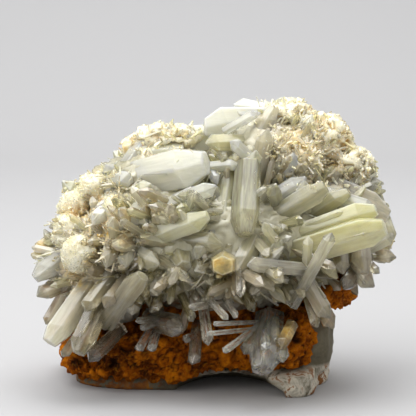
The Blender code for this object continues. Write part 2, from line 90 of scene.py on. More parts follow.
# Tints of the quartz, as linear colours
WHITE = (0.94, 0.93, 0.81)
CREAM = (0.91, 0.88, 0.66)
YELLOW = (0.88, 0.85, 0.50)
OLIVE = (0.70, 0.66, 0.40)
BEIGE = (0.84, 0.76, 0.58)
SMOKY = (0.54, 0.46, 0.36)
OCHRE = (0.62, 0.42, 0.16)
AMBER = (0.88, 0.76, 0.36)
# The bases' olive colour, kept darker than the crystals partly as painted shade of the gaps between them
BASE_TINT = (0.64, 0.60, 0.40)
DRUSE_TINT = (0.68, 0.57, 0.33)
# Painted shade for the low, hidden parts of the bases
DEEP_PAINTED_SHADE = (0.16, 0.13, 0.09)
ROOT_STAIN = (0.64, 0.48, 0.24)
# Painted shade: how dark the roots of crystals are made
ROOT_PAINTED_SHADE = 0.72
# Painted shade: the darker, warmer colour low on the cluster
LOW_PAINTED_SHADE = (0.62, 0.54, 0.42)
LOW_CLEARING = 0.35
LOW_START = 96.0
LOW_SPAN = 55.0


def seen(across, up, front):
    """The place in the cluster of a point given as it looks from the front."""
    nearer = 1.0 - front / VIEW_DISTANCE
    rise = (up - VIEW_MIDDLE_UP) * nearer
    middle = Vector((across * nearer, 0.0, VIEW_MIDDLE_HEIGHT))
    return middle + VIEW_UPWARD * rise + TO_VIEWER * front + LAYOUT_SHIFT


# Crystals: base and tip, width, flatness, roll, bluntness, tint, clearness
CROWN_CRYSTALS = [
    ((-36, 111, 6), (-1, 118, 28), 21, 0.6, 0, 0.55, WHITE, 0.15),
    ((0, 131, -12), (-43, 126, -8), 17, 0.8, 15, 0.6, CREAM, 0.05),
    ((-12, 124, -4), (-40, 121, -2), 12, 0.8, 30, 0.5, CREAM, 0.05),
    ((42, 139, -12), (-2, 138, -4), 17, 0.6, 0, 0.55, WHITE, 0.10),
    ((46, 140, -16), (12, 147, -8), 10, 0.7, 20, 0.45, WHITE, 0.10),
    ((8, 134, 6), (25, 144, 12), 5, 0.9, 0, 0.35, WHITE, 0.45),
    ((20, 120, 6), (32, 147, 4), 11, 0.7, 0, 0.5, BEIGE, 0.35),
    ((22, 129, 4), (-2, 128, 12), 10, 0.7, 10, 0.5, OLIVE, 0.35),
    ((30, 112, 8), (11, 130, 22), 6.5, 0.8, 0, 0.4, WHITE, 0.40),
    ((-6, 116, 12), (16, 118, 22), 6, 0.8, 0, 0.4, WHITE, 0.30),
    ((0, 118, 12), (5, 108, 23), 5.5, 0.8, 0, 0.3, WHITE, 0.40),
    ((44, 130, 2), (53, 143, 0), 8, 0.8, 10, 0.4, CREAM, 0.15),
    ((24, 110, 12), (30, 136, 20), 10, 0.7, 0, 0.5, BEIGE, 0.35),
    ((36, 106, 10), (43, 124, 20), 9, 0.7, 0, 0.5, WHITE, 0.30),
    ((16, 106, 14), (25, 125, 25), 8, 0.7, 0, 0.5, CREAM, 0.40),
]
MIDDLE_CRYSTALS = [
    ((20.5, 119, 20), (18.5, 83, 36), 14.5, 0.75, 30, 0.6, CREAM, 0.70),
    ((11, 116, 14), (7, 84, 30), 12, 0.8, 0, 0.5, YELLOW, 0.60),
    ((-34, 79, 26), (-0.5, 92, 42), 11.5, 0.8, 0, 0.45, YELLOW, 0.15),
    ((27, 88, 22), (15, 64, 40), 11, 0.7, 0, 0.35, CREAM, 0.40),
    ((16, 74, 34), (16.5, 51, 45), 4.6, 0.9, 0, 0.35, WHITE, 0.80),
    ((42, 68, 24), (27, 88.5, 45), 5.2, 0.9, 0, 0.45, CREAM, 0.45),
    ((8, 70, 16), (7.5, 67, 46), 13.5, 0.95, 0, 0.75, AMBER, 0.25),
    ((12, 72, 20), (4, 50, 37), 9.5, 0.8, 0, 0.4, CREAM, 0.40),
    ((50, 65, 34), (19, 68, 46), 7.6, 0.8, 0, 0.5, WHITE, 0.50),
    ((42, 47, 30), (62.5, 84, 48), 6.8, 0.9, 0, 0.4, WHITE, 0.60),
    ((49, 66, 34), (50, 82, 43), 5, 0.9, 0, 0.3, CREAM, 0.20),
    ((-8, 76, 24), (-2, 62, 38), 8, 0.9, 0, 0.4, OLIVE, 0.45),
    ((-22, 90, 24), (-4, 97, 36), 7, 0.8, 20, 0.4, CREAM, 0.35),
    ((-30, 96, 20), (-42, 88, 34), 9, 0.8, 0, 0.5, WHITE, 0.15),
    ((-40, 100, 16), (-30, 88, 32), 9, 0.8, 0, 0.5, CREAM, 0.15),
    ((-42, 76, 20), (-24, 67, 38), 10, 0.8, 0, 0.5, CREAM, 0.30),
    ((-16, 80, 14), (-12, 67, 38), 12, 0.9, 0, 0.6, OLIVE, 0.40),
    ((-20, 64, 20), (-6, 56, 34), 8, 0.8, 0, 0.4, OLIVE, 0.50),
    ((-46, 88, 18), (-50, 66, 36), 9, 0.8, 0, 0.5, BEIGE, 0.20),
    ((-36, 86, 20), (-42, 66, 37), 8, 0.8, 0, 0.5, CREAM, 0.25),
    ((-28, 94, 22), (5, 107, 33), 8.8, 0.7, 0, 0.5, WHITE, 0.30),
    ((-20, 82, 26), (8, 78, 40), 10, 0.7, 10, 0.5, OLIVE, 0.40),
    ((28, 88, 24), (36, 72, 40), 9, 0.7, 0, 0.5, YELLOW, 0.35),
    ((30, 78, 30), (30, 62, 42), 8.8, 0.8, 0, 0.5, CREAM, 0.40),
    ((-8, 74, 24), (-20, 59, 38), 9, 0.8, 0, 0.5, OLIVE, 0.45),
    ((6, 92, 26), (-6, 70, 38), 9, 0.8, 0, 0.5, CREAM, 0.35),
]
RIGHT_CRYSTALS = [
    ((38, 80, 20), (84, 96, 30), 12, 0.8, 0, 0.5, YELLOW, 0.20),
    ((34, 71, 22), (88.5, 87, 38), 16, 0.75, 15, 0.55, YELLOW, 0.20),
    ((52, 110, 2), (91, 93, 8), 14, 0.6, 0, 0.5, BEIGE, 0.45),
    ((58, 104, 10), (84, 95, 22), 8, 0.6, 0, 0.5, WHITE, 0.50),
    ((80, 110, -8), (92, 75, 0), 10, 0.7, 0, 0.4, CREAM, 0.45),
    ((24, 96, 16), (50, 111, 24), 10, 0.7, 0, 0.4, WHITE, 0.40),
    ((49, 94, 18), (47, 110, 28), 6.5, 0.8, 0, 0.45, CREAM, 0.35),
    ((50, 92, 14), (70, 105, 20), 10.5, 0.7, 0, 0.5, OLIVE, 0.45),
    ((65, 84, 8), (67, 63, 28), 8, 0.8, 0, 0.5, BEIGE, 0.40),
    ((76, 82, 8), (77, 63, 24), 12, 0.7, 0, 0.35, BEIGE, 0.45),
    ((66, 74, 10), (83, 55.5, 20), 9.5, 0.8, 0, 0.4, WHITE, 0.40),
    ((74, 74, 6), (86, 63, 14), 4.5, 0.8, 0, 0.4, WHITE, 0.50),
    ((72, 72, 8), (93.5, 83, 8), 8, 0.8, 0, 0.4, CREAM, 0.45),
    ((78, 74, -4), (94.5, 71, 4), 7, 0.8, 0, 0.6, BEIGE, 0.45),
    ((80, 72, 4), (67, 55, 24), 8, 0.8, 0, 0.4, SMOKY, 0.60),
    ((47, 64, 32), (61, 40, 37), 9, 0.7, 0, 0.4, WHITE, 0.40),
    ((56, 48, 30), (63, 35, 32), 8, 0.8, 0, 0.6, BEIGE, 0.40),
    ((40, 66, 20), (30, 54, 36), 8, 0.8, 0, 0.5, OLIVE, 0.50),
    ((34, 60, 22), (46, 50, 34), 8, 0.8, 0, 0.5, OLIVE, 0.50),
    ((27, 88, 18), (59, 107, 29), 12, 0.6, 0, 0.5, OLIVE, 0.40),
    ((50, 52, 26), (55, 36, 36), 6, 0.8, 0, 0.4, WHITE, 0.50),
]
LEFT_CRYSTALS = [
    ((-66, 86, -10), (-87, 74.5, 0), 7, 0.8, 0, 0.4, BEIGE, 0.30),
    ((-62, 79, 4), (-86.5, 60.5, 12), 12, 0.8, 0, 0.45, WHITE, 0.30),
    ((-68, 60, 2), (-86.5, 52, 10), 8.5, 0.8, 0, 0.4, BEIGE, 0.40),
    ((-70, 58, -6), (-81.5, 37.5, 4), 5.5, 0.8, 0, 0.35, BEIGE, 0.45),
    ((-56, 62, 12), (-79, 28.5, 28), 13, 0.7, 0, 0.6, WHITE, 0.15),
    ((-50, 58, 14), (-65, 23.5, 32), 12.5, 0.7, 0, 0.5, CREAM, 0.50),
    ((-60, 40, 10), (-73, 21, 24), 5.5, 0.8, 0, 0.4, BEIGE, 0.45),
    ((-43, 36, 12), (-60, 19.5, 30), 8, 0.8, 0, 0.5, SMOKY, 0.65),
    ((-51, 38, 20), (-32.5, 63, 44), 11.5, 0.8, 0, 0.55, CREAM, 0.35),
    ((-26, 66, 20), (-25.5, 51.5, 38), 7, 0.9, 0, 0.4, WHITE, 0.35),
    ((-46, 66, 18), (-62, 44, 34), 8, 0.8, 0, 0.5, CREAM, 0.30),
    ((-36, 66, 20), (-52, 46, 36), 8.5, 0.8, 0, 0.5, BEIGE, 0.30),
    ((-60, 96, -6), (-73.5, 110, -2), 9.5, 0.8, 0, 0.5, CREAM, 0.35),
    ((-60, 90, 0), (-80, 86, 2), 8, 0.8, 0, 0.5, BEIGE, 0.35),
    ((-44, 103, 10), (-58, 87, 26), 9.5, 0.8, 0, 0.6, WHITE, 0.25),
    ((-46, 108, -2), (-52, 118, 6), 9, 0.8, 0, 0.5, WHITE, 0.20),
    ((-50, 104, 6), (-38, 114, 18), 9, 0.7, 0, 0.5, WHITE, 0.15),
    ((-40, 102, 12), (-28, 108, 24), 8, 0.8, 0, 0.5, CREAM, 0.20),
    ((-34, 58, 20), (-38, 42, 35), 6.5, 0.8, 0, 0.4, BEIGE, 0.35),
]
LOWER_CRYSTALS = [
    ((-10, 62, 22), (10, 40, 43), 3.8, 0.9, 0, 0.3, WHITE, 0.9),
    ((-4, 58, 18), (0.5, 27, 38), 6, 0.9, 0, 0.4, BEIGE, 0.9),
    ((4, 62, 24), (-2, 46, 36), 6, 0.9, 0, 0.3, OLIVE, 0.7),
    ((-16, 64, 20), (-22, 49, 30), 6, 0.8, 0, 0.3, OLIVE, 0.7),
    ((14, 60, 24), (24, 44, 36), 6, 0.9, 0, 0.4, OLIVE, 0.7),
    ((12, 50, 24), (-10, 46, 43), 4, 0.9, 0, 0.3, WHITE, 0.9),
    ((2, 60, 22), (15, 41, 42), 3.8, 0.9, 0, 0.3, WHITE, 0.9),
    ((-16, 58, 20), (-7, 39, 39), 5, 0.9, 0, 0.3, OLIVE, 0.7),
    ((-26, 60, 18), (-25, 44, 34), 5.5, 0.8, 0, 0.3, BEIGE, 0.5),
]
STUBBY_CRYSTALS = [
    ((31, 42, 12), (28, 14.5, 44), 17.5, 0.75, 10, 0.55, WHITE, 0.7),
    ((25, 34, 22), (18, 23, 36), 7, 0.9, 0, 0.5, BEIGE, 0.7),
    ((28, 36, 22), (29, 25.5, 50), 5.2, 0.9, 0, 0.5, WHITE, 0.6),
    ((34, 34, 26), (37.5, 18, 40), 8, 0.8, 0, 0.5, BEIGE, 0.7),
    ((29, 40, 17), (7.5, 24, 50), 3.8, 0.9, 0, 0.3, WHITE, 0.9),
    ((28, 36, 20), (-1, 33, 48), 2.8, 0.9, 0, 0.3, WHITE, 0.9),
    ((28, 39, 18), (2.5, 38, 47), 2.6, 0.9, 0, 0.3, WHITE, 0.9),
    ((42, 38, 22), (36, 26, 40), 7, 0.8, 0, 0.5, OCHRE, 0.6),
]
SMOKY_CRYSTALS = [
    ((-30, 41, 4), (-12, 36.5, 34), 12.5, 0.7, 0, 0.3, SMOKY, 0.6),
    ((-24, 41, 12), (-36, 39.5, 32), 3.6, 0.9, 0, 0.3, BEIGE, 0.8),
    ((-28, 37, 8), (-35, 24.5, 30), 5, 0.9, 0, 0.35, BEIGE, 0.8),
    ((-25, 37, 8), (-28.5, 24.5, 31), 5, 0.9, 0, 0.35, BEIGE, 0.8),
    ((-21, 40, 12), (-34, 35.5, 30), 3.4, 0.9, 0, 0.3, BEIGE, 0.8),
]
BROWN_CRYSTALS = [
    ((-5, 38, 8), (-7, 17.5, 36), 7, 0.8, 0, 0.2, SMOKY, 0.7),
    ((-5, 33, 14), (-12, 30, 32), 4.6, 0.9, 0, 0.3, BEIGE, 0.8),
]

# Round sugary lumps: place, half sizes, roughness
SUGARY_LUMPS = [
    ((-69, 84, 12), (9, 8, 9), 1.2),
    ((-64, 73, 22), (9.4, 9, 9.4), 0.8),
    ((-67, 97, 4), (8, 8, 7), 1.4),
    ((-57, 106, 2), (9, 9, 8), 1.6),
    ((58, 130, -8), (14, 14, 13), 2.4),
    ((70, 116, -8), (13, 14, 11), 2.4),
    ((40, 141, -12), (14, 14, 9), 2.0),
    ((46, 120, 2), (12, 12, 10), 2.6),
    ((-20, 131, -10), (18, 9, 7), 1.6),
    ((-44, 92, 12), (12, 14, 12), 2.0),
]

# Grown-together bases: place and half sizes
QUARTZ_BASES = [
    ((4, 78, -3), (67, 38, 34)),
    ((-50, 72, -4), (28, 27, 26)),
    ((-24, 106, -8), (36, 25, 20)),
    ((32, 118, -12), (33, 27, 25)),
    ((60, 94, -12), (24, 25, 24)),
    ((-50, 50, 2), (17, 18, 14)),
    ((64, 77, -6), (18, 20, 12)),
]

# Covers of the back, top and sides: name, base lump, the way they look, reach, count, length, width
COVERS = [
    ("back_middle", 0, (0.0, 1.0, 0.0), 0.35, 34, 24.0, 21.0),
    ("back_left", 1, (-0.5, 1.0, 0.0), 0.35, 14, 18.0, 17.0),
    ("back_shoulder", 2, (-0.1, 0.9, 0.6), 0.50, 14, 17.0, 18.0),
    ("back_crown", 3, (0.0, 1.0, 0.5), 0.45, 14, 17.0, 18.0),
    ("back_right", 4, (0.5, 1.0, 0.2), 0.45, 13, 16.0, 17.0),
]

# Iron stains on the quartz: place, radius
STAINS = [
    ((9, 65, 46), 10),
    ((46, 126, 4), 13),
    ((60, 121, 0), 9),
    ((-56, 94, 12), 10),
    ((-52, 82, 20), 11),
    ((-64, 62, 14), 12),
    ((-42, 130, -8), 10),
    ((-66, 92, 6), 10),
    ((-85, 76, 0), 7),
    ((40, 32, 30), 9),
    ((90, 76, 0), 5),
]

# Patches of fine druse as they are seen from the front: across, up, half width, half height
DRUSE_PATCHES = [
    (-54, 93, 27, 22),
    (-62, 70, 20, 12),
    (-24, 130, 24, 9),
    (52, 128, 28, 22),
    (72, 117, 12, 12),
]

# Patches without small crystals, as seen from the front
BARE_PATCHES = [
    (-17, 116, 18, 9),
    (64, 52, 10, 13),
    (-6, 46, 26, 11),
    (18, 108, 9, 10),
    (62, 86, 24, 10),
]


def as_seen(points):
    """Across, up and front of points in the cluster."""
    off = points - np.array(LAYOUT_SHIFT) - np.array((0.0, 0.0, VIEW_MIDDLE_HEIGHT))
    front = off @ np.array(TO_VIEWER)
    nearer = 1.0 - front / VIEW_DISTANCE
    return off[:, 0] / nearer, off @ np.array(VIEW_UPWARD) / nearer + VIEW_MIDDLE_UP, front


def climb(values, start, span):
    """0 before the start, rising to 1 over the span. A span below 0 runs the other way."""
    return np.clip((values - start) / span, 0.0, 1.0)


def patch_values(points, patches, rim, fade):
    """1 inside patches as they are seen from the front, fading to 0 at their rims, and each point's front."""
    across, up, front = as_seen(points)
    value = np.zeros(len(points))
    for middle_across, middle_up, half_width, half_height in patches:
        ring = np.hypot((across - middle_across) / half_width, (up - middle_up) / half_height)
        value = np.maximum(value, climb(ring, rim, -fade))
    return value, front


def bare_values(points):
    """1 where clean faces show and no small crystals grow, else 0."""
    value, front = patch_values(points, BARE_PATCHES, 1.1, 0.2)
    return value * climb(front, -8.0, 6.0)


def druse_values(points):
    """How thickly fine druse covers each point, from 0 to 1."""
    return patch_values(points, DRUSE_PATCHES, 1.15, 0.3)[0]


def painted_low_shade(points):
    """Colour factors of painted shade that darken and warm the parts low down on the cluster."""
    return 1.0 - lowness(points)[:, None] * (1.0 - np.array(LOW_PAINTED_SHADE))


def lowness(points):
    """How low a point sits, weighting the painted low shade and the clearing: 0 in the upper half of the
    cluster, rising to 1 at the crust, and less at the left end.
    """
    across, up, _ = as_seen(points)
    return climb(up, LOW_START, -LOW_SPAN) * np.maximum(climb(across, -88.0, 30.0), 0.3)


class Pile:
    """Gathers many small closed shapes into one mesh, with their tint, clearness and growth place."""

    def __init__(self, shaded=True):
        self.shaded = shaded
        self.places = []
        self.faces = []
        self.tints = []
        self.clears = []
        self.grains = []
        self.edges = []

    def add(self, bm, matrix, tint, clear):
        start = len(self.places)
        bm.verts.index_update()
        length = max(vert.co.z for vert in bm.verts)
        for vert in bm.verts:
            self.places.append(matrix @ vert.co)
            self.grains.append(vert.co.copy())
            # Painted shade: each crystal is darker towards its root
            shade = ROOT_PAINTED_SHADE + (1.0 - ROOT_PAINTED_SHADE) * min(1.0, vert.co.z / (0.6 * length))
            self.tints.append([part * shade for part in tint])
        self.faces.extend([tuple(start + vert.index for vert in face.verts) for face in bm.faces])
        # Bevel faces, marked for the painted highlight
        self.edges.extend([float(face.material_index) for face in bm.faces])
        self.clears.extend([clear] * len(bm.verts))

    def finish(self, name, material):
        mesh = bpy.data.meshes.new(name)
        mesh.from_pydata([place * MM for place in self.places], [], self.faces)
        places = np.array([tuple(place) for place in self.places])
        tints = np.array(self.tints)
        # Painted shade low on the cluster, unless the pile is left unshaded
        if self.shaded:
            tints = tints * painted_low_shade(places)
        put_values(mesh, "tint", tints)
        clears = np.array(self.clears) + LOW_CLEARING * lowness(places)
        put_values(mesh, "clear", np.minimum(1.0, clears))
        put_values(mesh, "grain", self.grains)
        put_values(mesh, "stain", stain_values(self.places))
        put_values(mesh, "edge", self.edges, "FACE")
        mesh.shade_flat()
        return show(name, mesh, material)


class Layers:
    """Shares crystals out among several piles, so that no two in one pile touch."""

    def __init__(self, shaded=True):
        self.shaded = shaded
        self.piles = []

    def add(self, bm, matrix, tint, clear):
        top = max(vert.co.z for vert in bm.verts)
        reach = max(math.hypot(vert.co.x, vert.co.y) for vert in bm.verts)
        heights = [top * step / SPAN_STEPS for step in range(SPAN_STEPS + 1)]
        span = np.array([tuple(matrix @ Vector((0.0, 0.0, height))) for height in heights])
        for pile, members in self.piles:
            if all(nearest_gap(span, other) > reach + other_reach for other, other_reach in members):
                break
        else:
            pile, members = Pile(self.shaded), []
            self.piles.append((pile, members))
        pile.add(bm, matrix, tint, clear)
        members.append((span, reach))

    def finish(self, name, material):
        numbered = enumerate(self.piles, 1)
        return [pile.finish(f"{name}_{number:02d}", material) for number, (pile, _) in numbered]


def nearest_gap(first, second):
    """The smallest distance between two rows of points."""
    return math.sqrt(((first[:, None, :] - second[None, :, :]) ** 2).sum(axis=2).min())


def put_values(mesh, name, values, domain="POINT"):
    """Gives each point or face of a mesh a number, a place or, as its tint, a colour."""
    values = np.array(values, dtype=np.float32)
    kind, field = ("FLOAT", "value") if values.ndim == 1 else ("FLOAT_VECTOR", "vector")
    if name == "tint":
        kind, field = "FLOAT_COLOR", "color"
        values = np.hstack([values, np.ones((len(values), 1), dtype=np.float32)])
    mesh.attributes.new(name, kind, domain).data.foreach_set(field, values.ravel())


def mesh_of(name, bm):
    """A new mesh of a bmesh, which is freed."""
    mesh = bpy.data.meshes.new(name)
    bm.to_mesh(mesh)
    bm.free()
    return mesh


def show(name, mesh, material):
    mesh.materials.clear()
    mesh.materials.append(material)
    obj = bpy.data.objects.new(name, mesh)
    bpy.context.scene.collection.objects.link(obj)
    return obj


def stain_values(places):
    """How near each point is to a stain, from 0 to 1."""
    points = np.array([tuple(place) for place in places])
    value = np.zeros(len(points))
    for centre, radius in STAINS:
        distance = np.linalg.norm(points - np.array(seen(*centre)), axis=1) / radius
        value = np.maximum(value, np.clip(1.0 - distance * distance, 0.0, 1.0))
    return value


def crystal_frame(base, tip, roll):
    """Axes with Z along the crystal and its broad side turned to the viewer."""
    along = (tip - base).normalized()
    facing = TO_VIEWER - along * TO_VIEWER.dot(along)
    if facing.length < 0.2:
        facing = VIEW_UPWARD - along * VIEW_UPWARD.dot(along)
    facing.normalize()
    side = facing.cross(along)
    axes = Matrix((side, facing, along)).transposed().to_4x4()
    return Matrix.Translation(base) @ axes @ Matrix.Rotation(math.radians(roll), 4, "Z")


def crystal_mesh(name, length, width, flat, blunt):
    """The crystal of the solid, with rounded edges and faint growth steps along its faces."""
    chance = random.Random(name)
    cap = min(TIP_LENGTH * width, LONGEST_TIP * length)
    radius = 0.54 * width
    bm = bmesh.new()
    bmesh.ops.create_cone(
        bm, cap_ends=True, segments=CRYSTAL_SIDES, radius1=radius * TAPER, radius2=radius, depth=length - cap
    )
    bmesh.ops.translate(bm, vec=(0.0, 0.0, 0.5 * (length - cap)), verts=bm.verts)
    corner_size = [chance.uniform(0.88, 1.08) for _ in range(CRYSTAL_SIDES)]
    for vert in bm.verts:
        turn = math.atan2(vert.co.y, vert.co.x) / math.tau * CRYSTAL_SIDES
        size = corner_size[round(turn) % CRYSTAL_SIDES]
        vert.co.x *= size
        vert.co.y *= size * flat
    shoulder = max(bm.faces, key=lambda face: face.calc_center_median().z)
    raised = bmesh.ops.extrude_face_region(bm, geom=[shoulder])["geom"]
    end_verts = [part for part in raised if isinstance(part, bmesh.types.BMVert)]
    bmesh.ops.delete(bm, geom=[shoulder], context="FACES_ONLY")
    lean = Vector((chance.uniform(-0.25, 0.25), chance.uniform(-0.25, 0.25), 0.0)) * radius
    for vert in end_verts:
        vert.co.x = vert.co.x * blunt + lean.x
        vert.co.y = vert.co.y * blunt + lean.y * flat
        vert.co.z += cap
    if blunt == POINTED:
        bmesh.ops.pointmerge(bm, verts=end_verts, merge_co=Vector((lean.x, lean.y * flat, length)))
    uneven_tip(bm, chance, cap, length)
    add_growth_steps(bm, chance, width, length)
    worn = blunt >= 0.5
    edges = [edge for edge in bm.edges if len(edge.link_faces) == 2 and edge.calc_face_angle(0.0) > 0.3]
    highlight_bevels = bmesh.ops.bevel(
        bm, geom=edges, offset=width * (0.05 if worn else 0.028), segments=2 if worn else 1,
        profile=0.6, affect="EDGES", clamp_overlap=True,
    )
    # The bevel faces are marked for a painted highlight in the material
    for face in highlight_bevels["faces"]:
        face.material_index = 1
    bmesh.ops.recalc_face_normals(bm, faces=bm.faces)
    return bm


def uneven_tip(bm, chance, cap, length):
    """Every other shoulder corner sits lower, as the large and small end faces alternate."""
    shoulder = [vert for vert in bm.verts if 0.3 * length < vert.co.z < length - 0.5 * cap]
    for vert in shoulder:
        turn = round(math.atan2(vert.co.y, vert.co.x) / math.tau * CRYSTAL_SIDES)
        vert.co.z += cap * (0.18 if turn % 2 else -0.18) + cap * chance.uniform(-0.08, 0.08)


def add_growth_steps(bm, chance, width, length):
    """Cuts the prism faces into short stretches and moves each in or out by a hair."""
    long_edges = [edge for edge in bm.edges if abs((edge.verts[0].co - edge.verts[1].co).z) > 0.5 * length]
    cuts = int(min(5, max(1, length / (0.7 * width))))
    made = bmesh.ops.subdivide_edges(bm, edges=long_edges, cuts=cuts, use_grid_fill=True)
    rings = {}
    for part in made["geom_inner"]:
        if isinstance(part, bmesh.types.BMVert):
            rings.setdefault(round(part.co.z, 1), []).append(part)
    for ring in rings.values():
        for vert in ring:
            step = 1.0 + chance.uniform(-0.012, 0.012)
            vert.co.x *= step
            vert.co.y *= step


def place_crystal(pile, name, base, tip, width, flat, roll, blunt, tint, clear):
    bm = crystal_mesh(name, (tip - base).length, width, flat, blunt)
    chance = random.Random(name + "_tint")
    shade = chance.uniform(0.92, 1.05)
    warm = chance.uniform(0.94, 1.03)
    tint = (tint[0] * shade, tint[1] * shade, tint[2] * shade * warm)
    pile.add(bm, crystal_frame(base, tip, roll), tint, clear)
    bm.free()
    if width >= SIDE_GROWTH_WIDTH:
        add_side_growths(pile, name, base, tip, width, flat, roll, tint, clear)


def add_side_growths(pile, name, base, tip, width, flat, roll, tint, clear):
    """Slimmer crystals grown along the faces of a large one, nearly parallel to it."""
    chance = random.Random(name + "_side")
    axes = crystal_frame(base, tip, roll).to_3x3()
    length = (tip - base).length
    for number in range(chance.randint(2, 4)):
        turn = chance.uniform(0.0, math.tau)
        reach = width * chance.uniform(0.30, 0.44)
        aside = axes @ Vector((math.cos(turn) * reach, math.sin(turn) * reach * flat, 0.0))
        slim = width * chance.uniform(0.16, 0.36)
        start = base + (tip - base) * chance.uniform(0.15, 0.45) + aside * 0.9
        spread = Vector([chance.uniform(-0.06, 0.06) for _ in range(3)]) * length
        end = start + (tip - base) * chance.uniform(0.25, 0.5) + spread * 0.6
        bm = crystal_mesh(f"{name}_side_{number}", (end - start).length, slim, 0.8, POINTED)
        pile.add(bm, crystal_frame(start, end, chance.uniform(0.0, 60.0)), tint, min(1.0, clear + 0.15))
        bm.free()


def add_cover(pile, prefix, centre, half, facing, reach, count, length, width):
    """Crystals that sprout outwards all over the side of a lump that looks along facing."""
    chance = random.Random(prefix)
    facing = Vector(facing).normalized()
    middle = seen(*centre)
    number = 0
    for step in range(count):
        height = 1.0 - 2.0 * (step + 0.5) / count
        ring = math.sqrt(1.0 - height * height)
        turn = step * GOLDEN_ANGLE
        way = Vector((ring * math.cos(turn), height, ring * math.sin(turn)))
        surface = middle + Vector([part * size for part, size in zip(way, half)])
        if way.dot(facing) < reach or surface.z < LOWEST_COVER:
            continue
        number += 1
        jitter = Vector([chance.uniform(-0.8, 0.8) for _ in range(3)])
        outwards = (way + jitter).normalized()
        size = chance.uniform(0.6, 1.0)
        base = surface - outwards * (0.8 * width)
        tip = surface + outwards * (length * size)
        flat = chance.uniform(0.65, 0.95)
        roll = chance.uniform(0.0, 60.0)
        tint = [WHITE, CREAM, YELLOW, BEIGE][number % 4]
        clear = 0.25 + 0.05 * (number % 4)
        name = f"{prefix}_{number:02d}"
        place_crystal(pile, name, base, tip, width * size, flat, roll, POINTED, tint, clear)


# Materials
def add_node(tree, kind, inputs=None, **settings):
    """A node with its settings, its links and the values of its sockets."""
    made = tree.nodes.new(kind)
    for name, value in settings.items():
        setattr(made, name, value)
    for socket, value in (inputs or {}).items():
        if isinstance(value, bpy.types.NodeSocket):
            tree.links.new(value, made.inputs[socket])
        else:
            made.inputs[socket].default_value = value
    return made


class Recipe:
    """A Principled material built node by node."""

    def __init__(self, name, soaking="BURLEY", **values):
        self.material = bpy.data.materials.new(name)
        self.material.use_nodes = True
        self.tree = self.material.node_tree
        self.shader = self.tree.nodes["Principled BSDF"]
        self.shader.subsurface_method = soaking
        for socket, value in values.items():
            self.shader.inputs[socket.replace("_", " ")].default_value = value

    def node(self, kind, inputs=None, **settings):
        return add_node(self.tree, kind, inputs, **settings)

    def place(self):
        return self.node("ShaderNodeTexCoord").outputs["Object"]

    def value(self, name, output="Fac"):
        """The output of a value that the mesh carries."""
        return self.node("ShaderNodeAttribute", attribute_name=name).outputs[output]

    def noise(self, place, scale, detail=4.0, rough=0.55, distort=0.0):
        made = self.node(
            "ShaderNodeTexNoise",
            {"Vector": place, "Scale": scale, "Detail": detail, "Roughness": rough, "Distortion": distort},
        )
        return made.outputs["Fac"]

    def ramp(self, factor, stops):
        made = self.node("ShaderNodeValToRGB", {"Fac": factor})
        bar = made.color_ramp
        while len(bar.elements) < len(stops):
            bar.elements.new(0.5)
        for element, (spot, colour) in zip(bar.elements, stops):
            element.position = spot
            element.color = (*colour, 1.0) if len(colour) == 3 else colour
        return made.outputs["Color"]

    def fit(self, value, low, high, to_low, to_high):
        made = self.node(
            "ShaderNodeMapRange",
            {"Value": value, "From Min": low, "From Max": high, "To Min": to_low, "To Max": to_high},
        )
        return made.outputs["Result"]

    def fade(self, value, low, high):
        """0 at the low value, 1 at the high one."""
        return self.fit(value, low, high, 0.0, 1.0)

    def times(self, first, second):
        return self.node("ShaderNodeMath", {0: first, 1: second}, operation="MULTIPLY").outputs["Value"]

    def plus(self, first, second):
        return self.node("ShaderNodeMath", {0: first, 1: second}, operation="ADD").outputs["Value"]

    def mix(self, factor, first, second):
        made = self.node("ShaderNodeMix", data_type="RGBA")
        for name, kind, value in (("Factor", "VALUE", factor), ("A", "RGBA", first), ("B", "RGBA", second)):
            spot = next(socket for socket in made.inputs if socket.name == name and socket.type == kind)
            if isinstance(value, bpy.types.NodeSocket):
                self.tree.links.new(value, spot)
            else:
                spot.default_value = value if name == "Factor" else (*value, 1.0)
        return next(socket for socket in made.outputs if socket.type == "RGBA")

    def over(self, body, colour, value, low, high, most):
        """A colour laid over the body, by up to most as the value goes from low to high."""
        return self.mix(self.fit(value, low, high, 0.0, most), body, colour)

    def bump(self, height, strength, distance):
        made = self.node("ShaderNodeBump", {"Height": height, "Strength": strength, "Distance": distance})
        return made.outputs["Normal"]

    def use(self, **links):
        for socket, value in links.items():
            self.tree.links.new(value, self.shader.inputs[socket.replace("_", " ")])

    def stretched(self, place, scale):
        made = self.node("ShaderNodeMapping", {"Vector": place})
        made.inputs["Scale"].default_value = scale
        return made.outputs["Vector"]


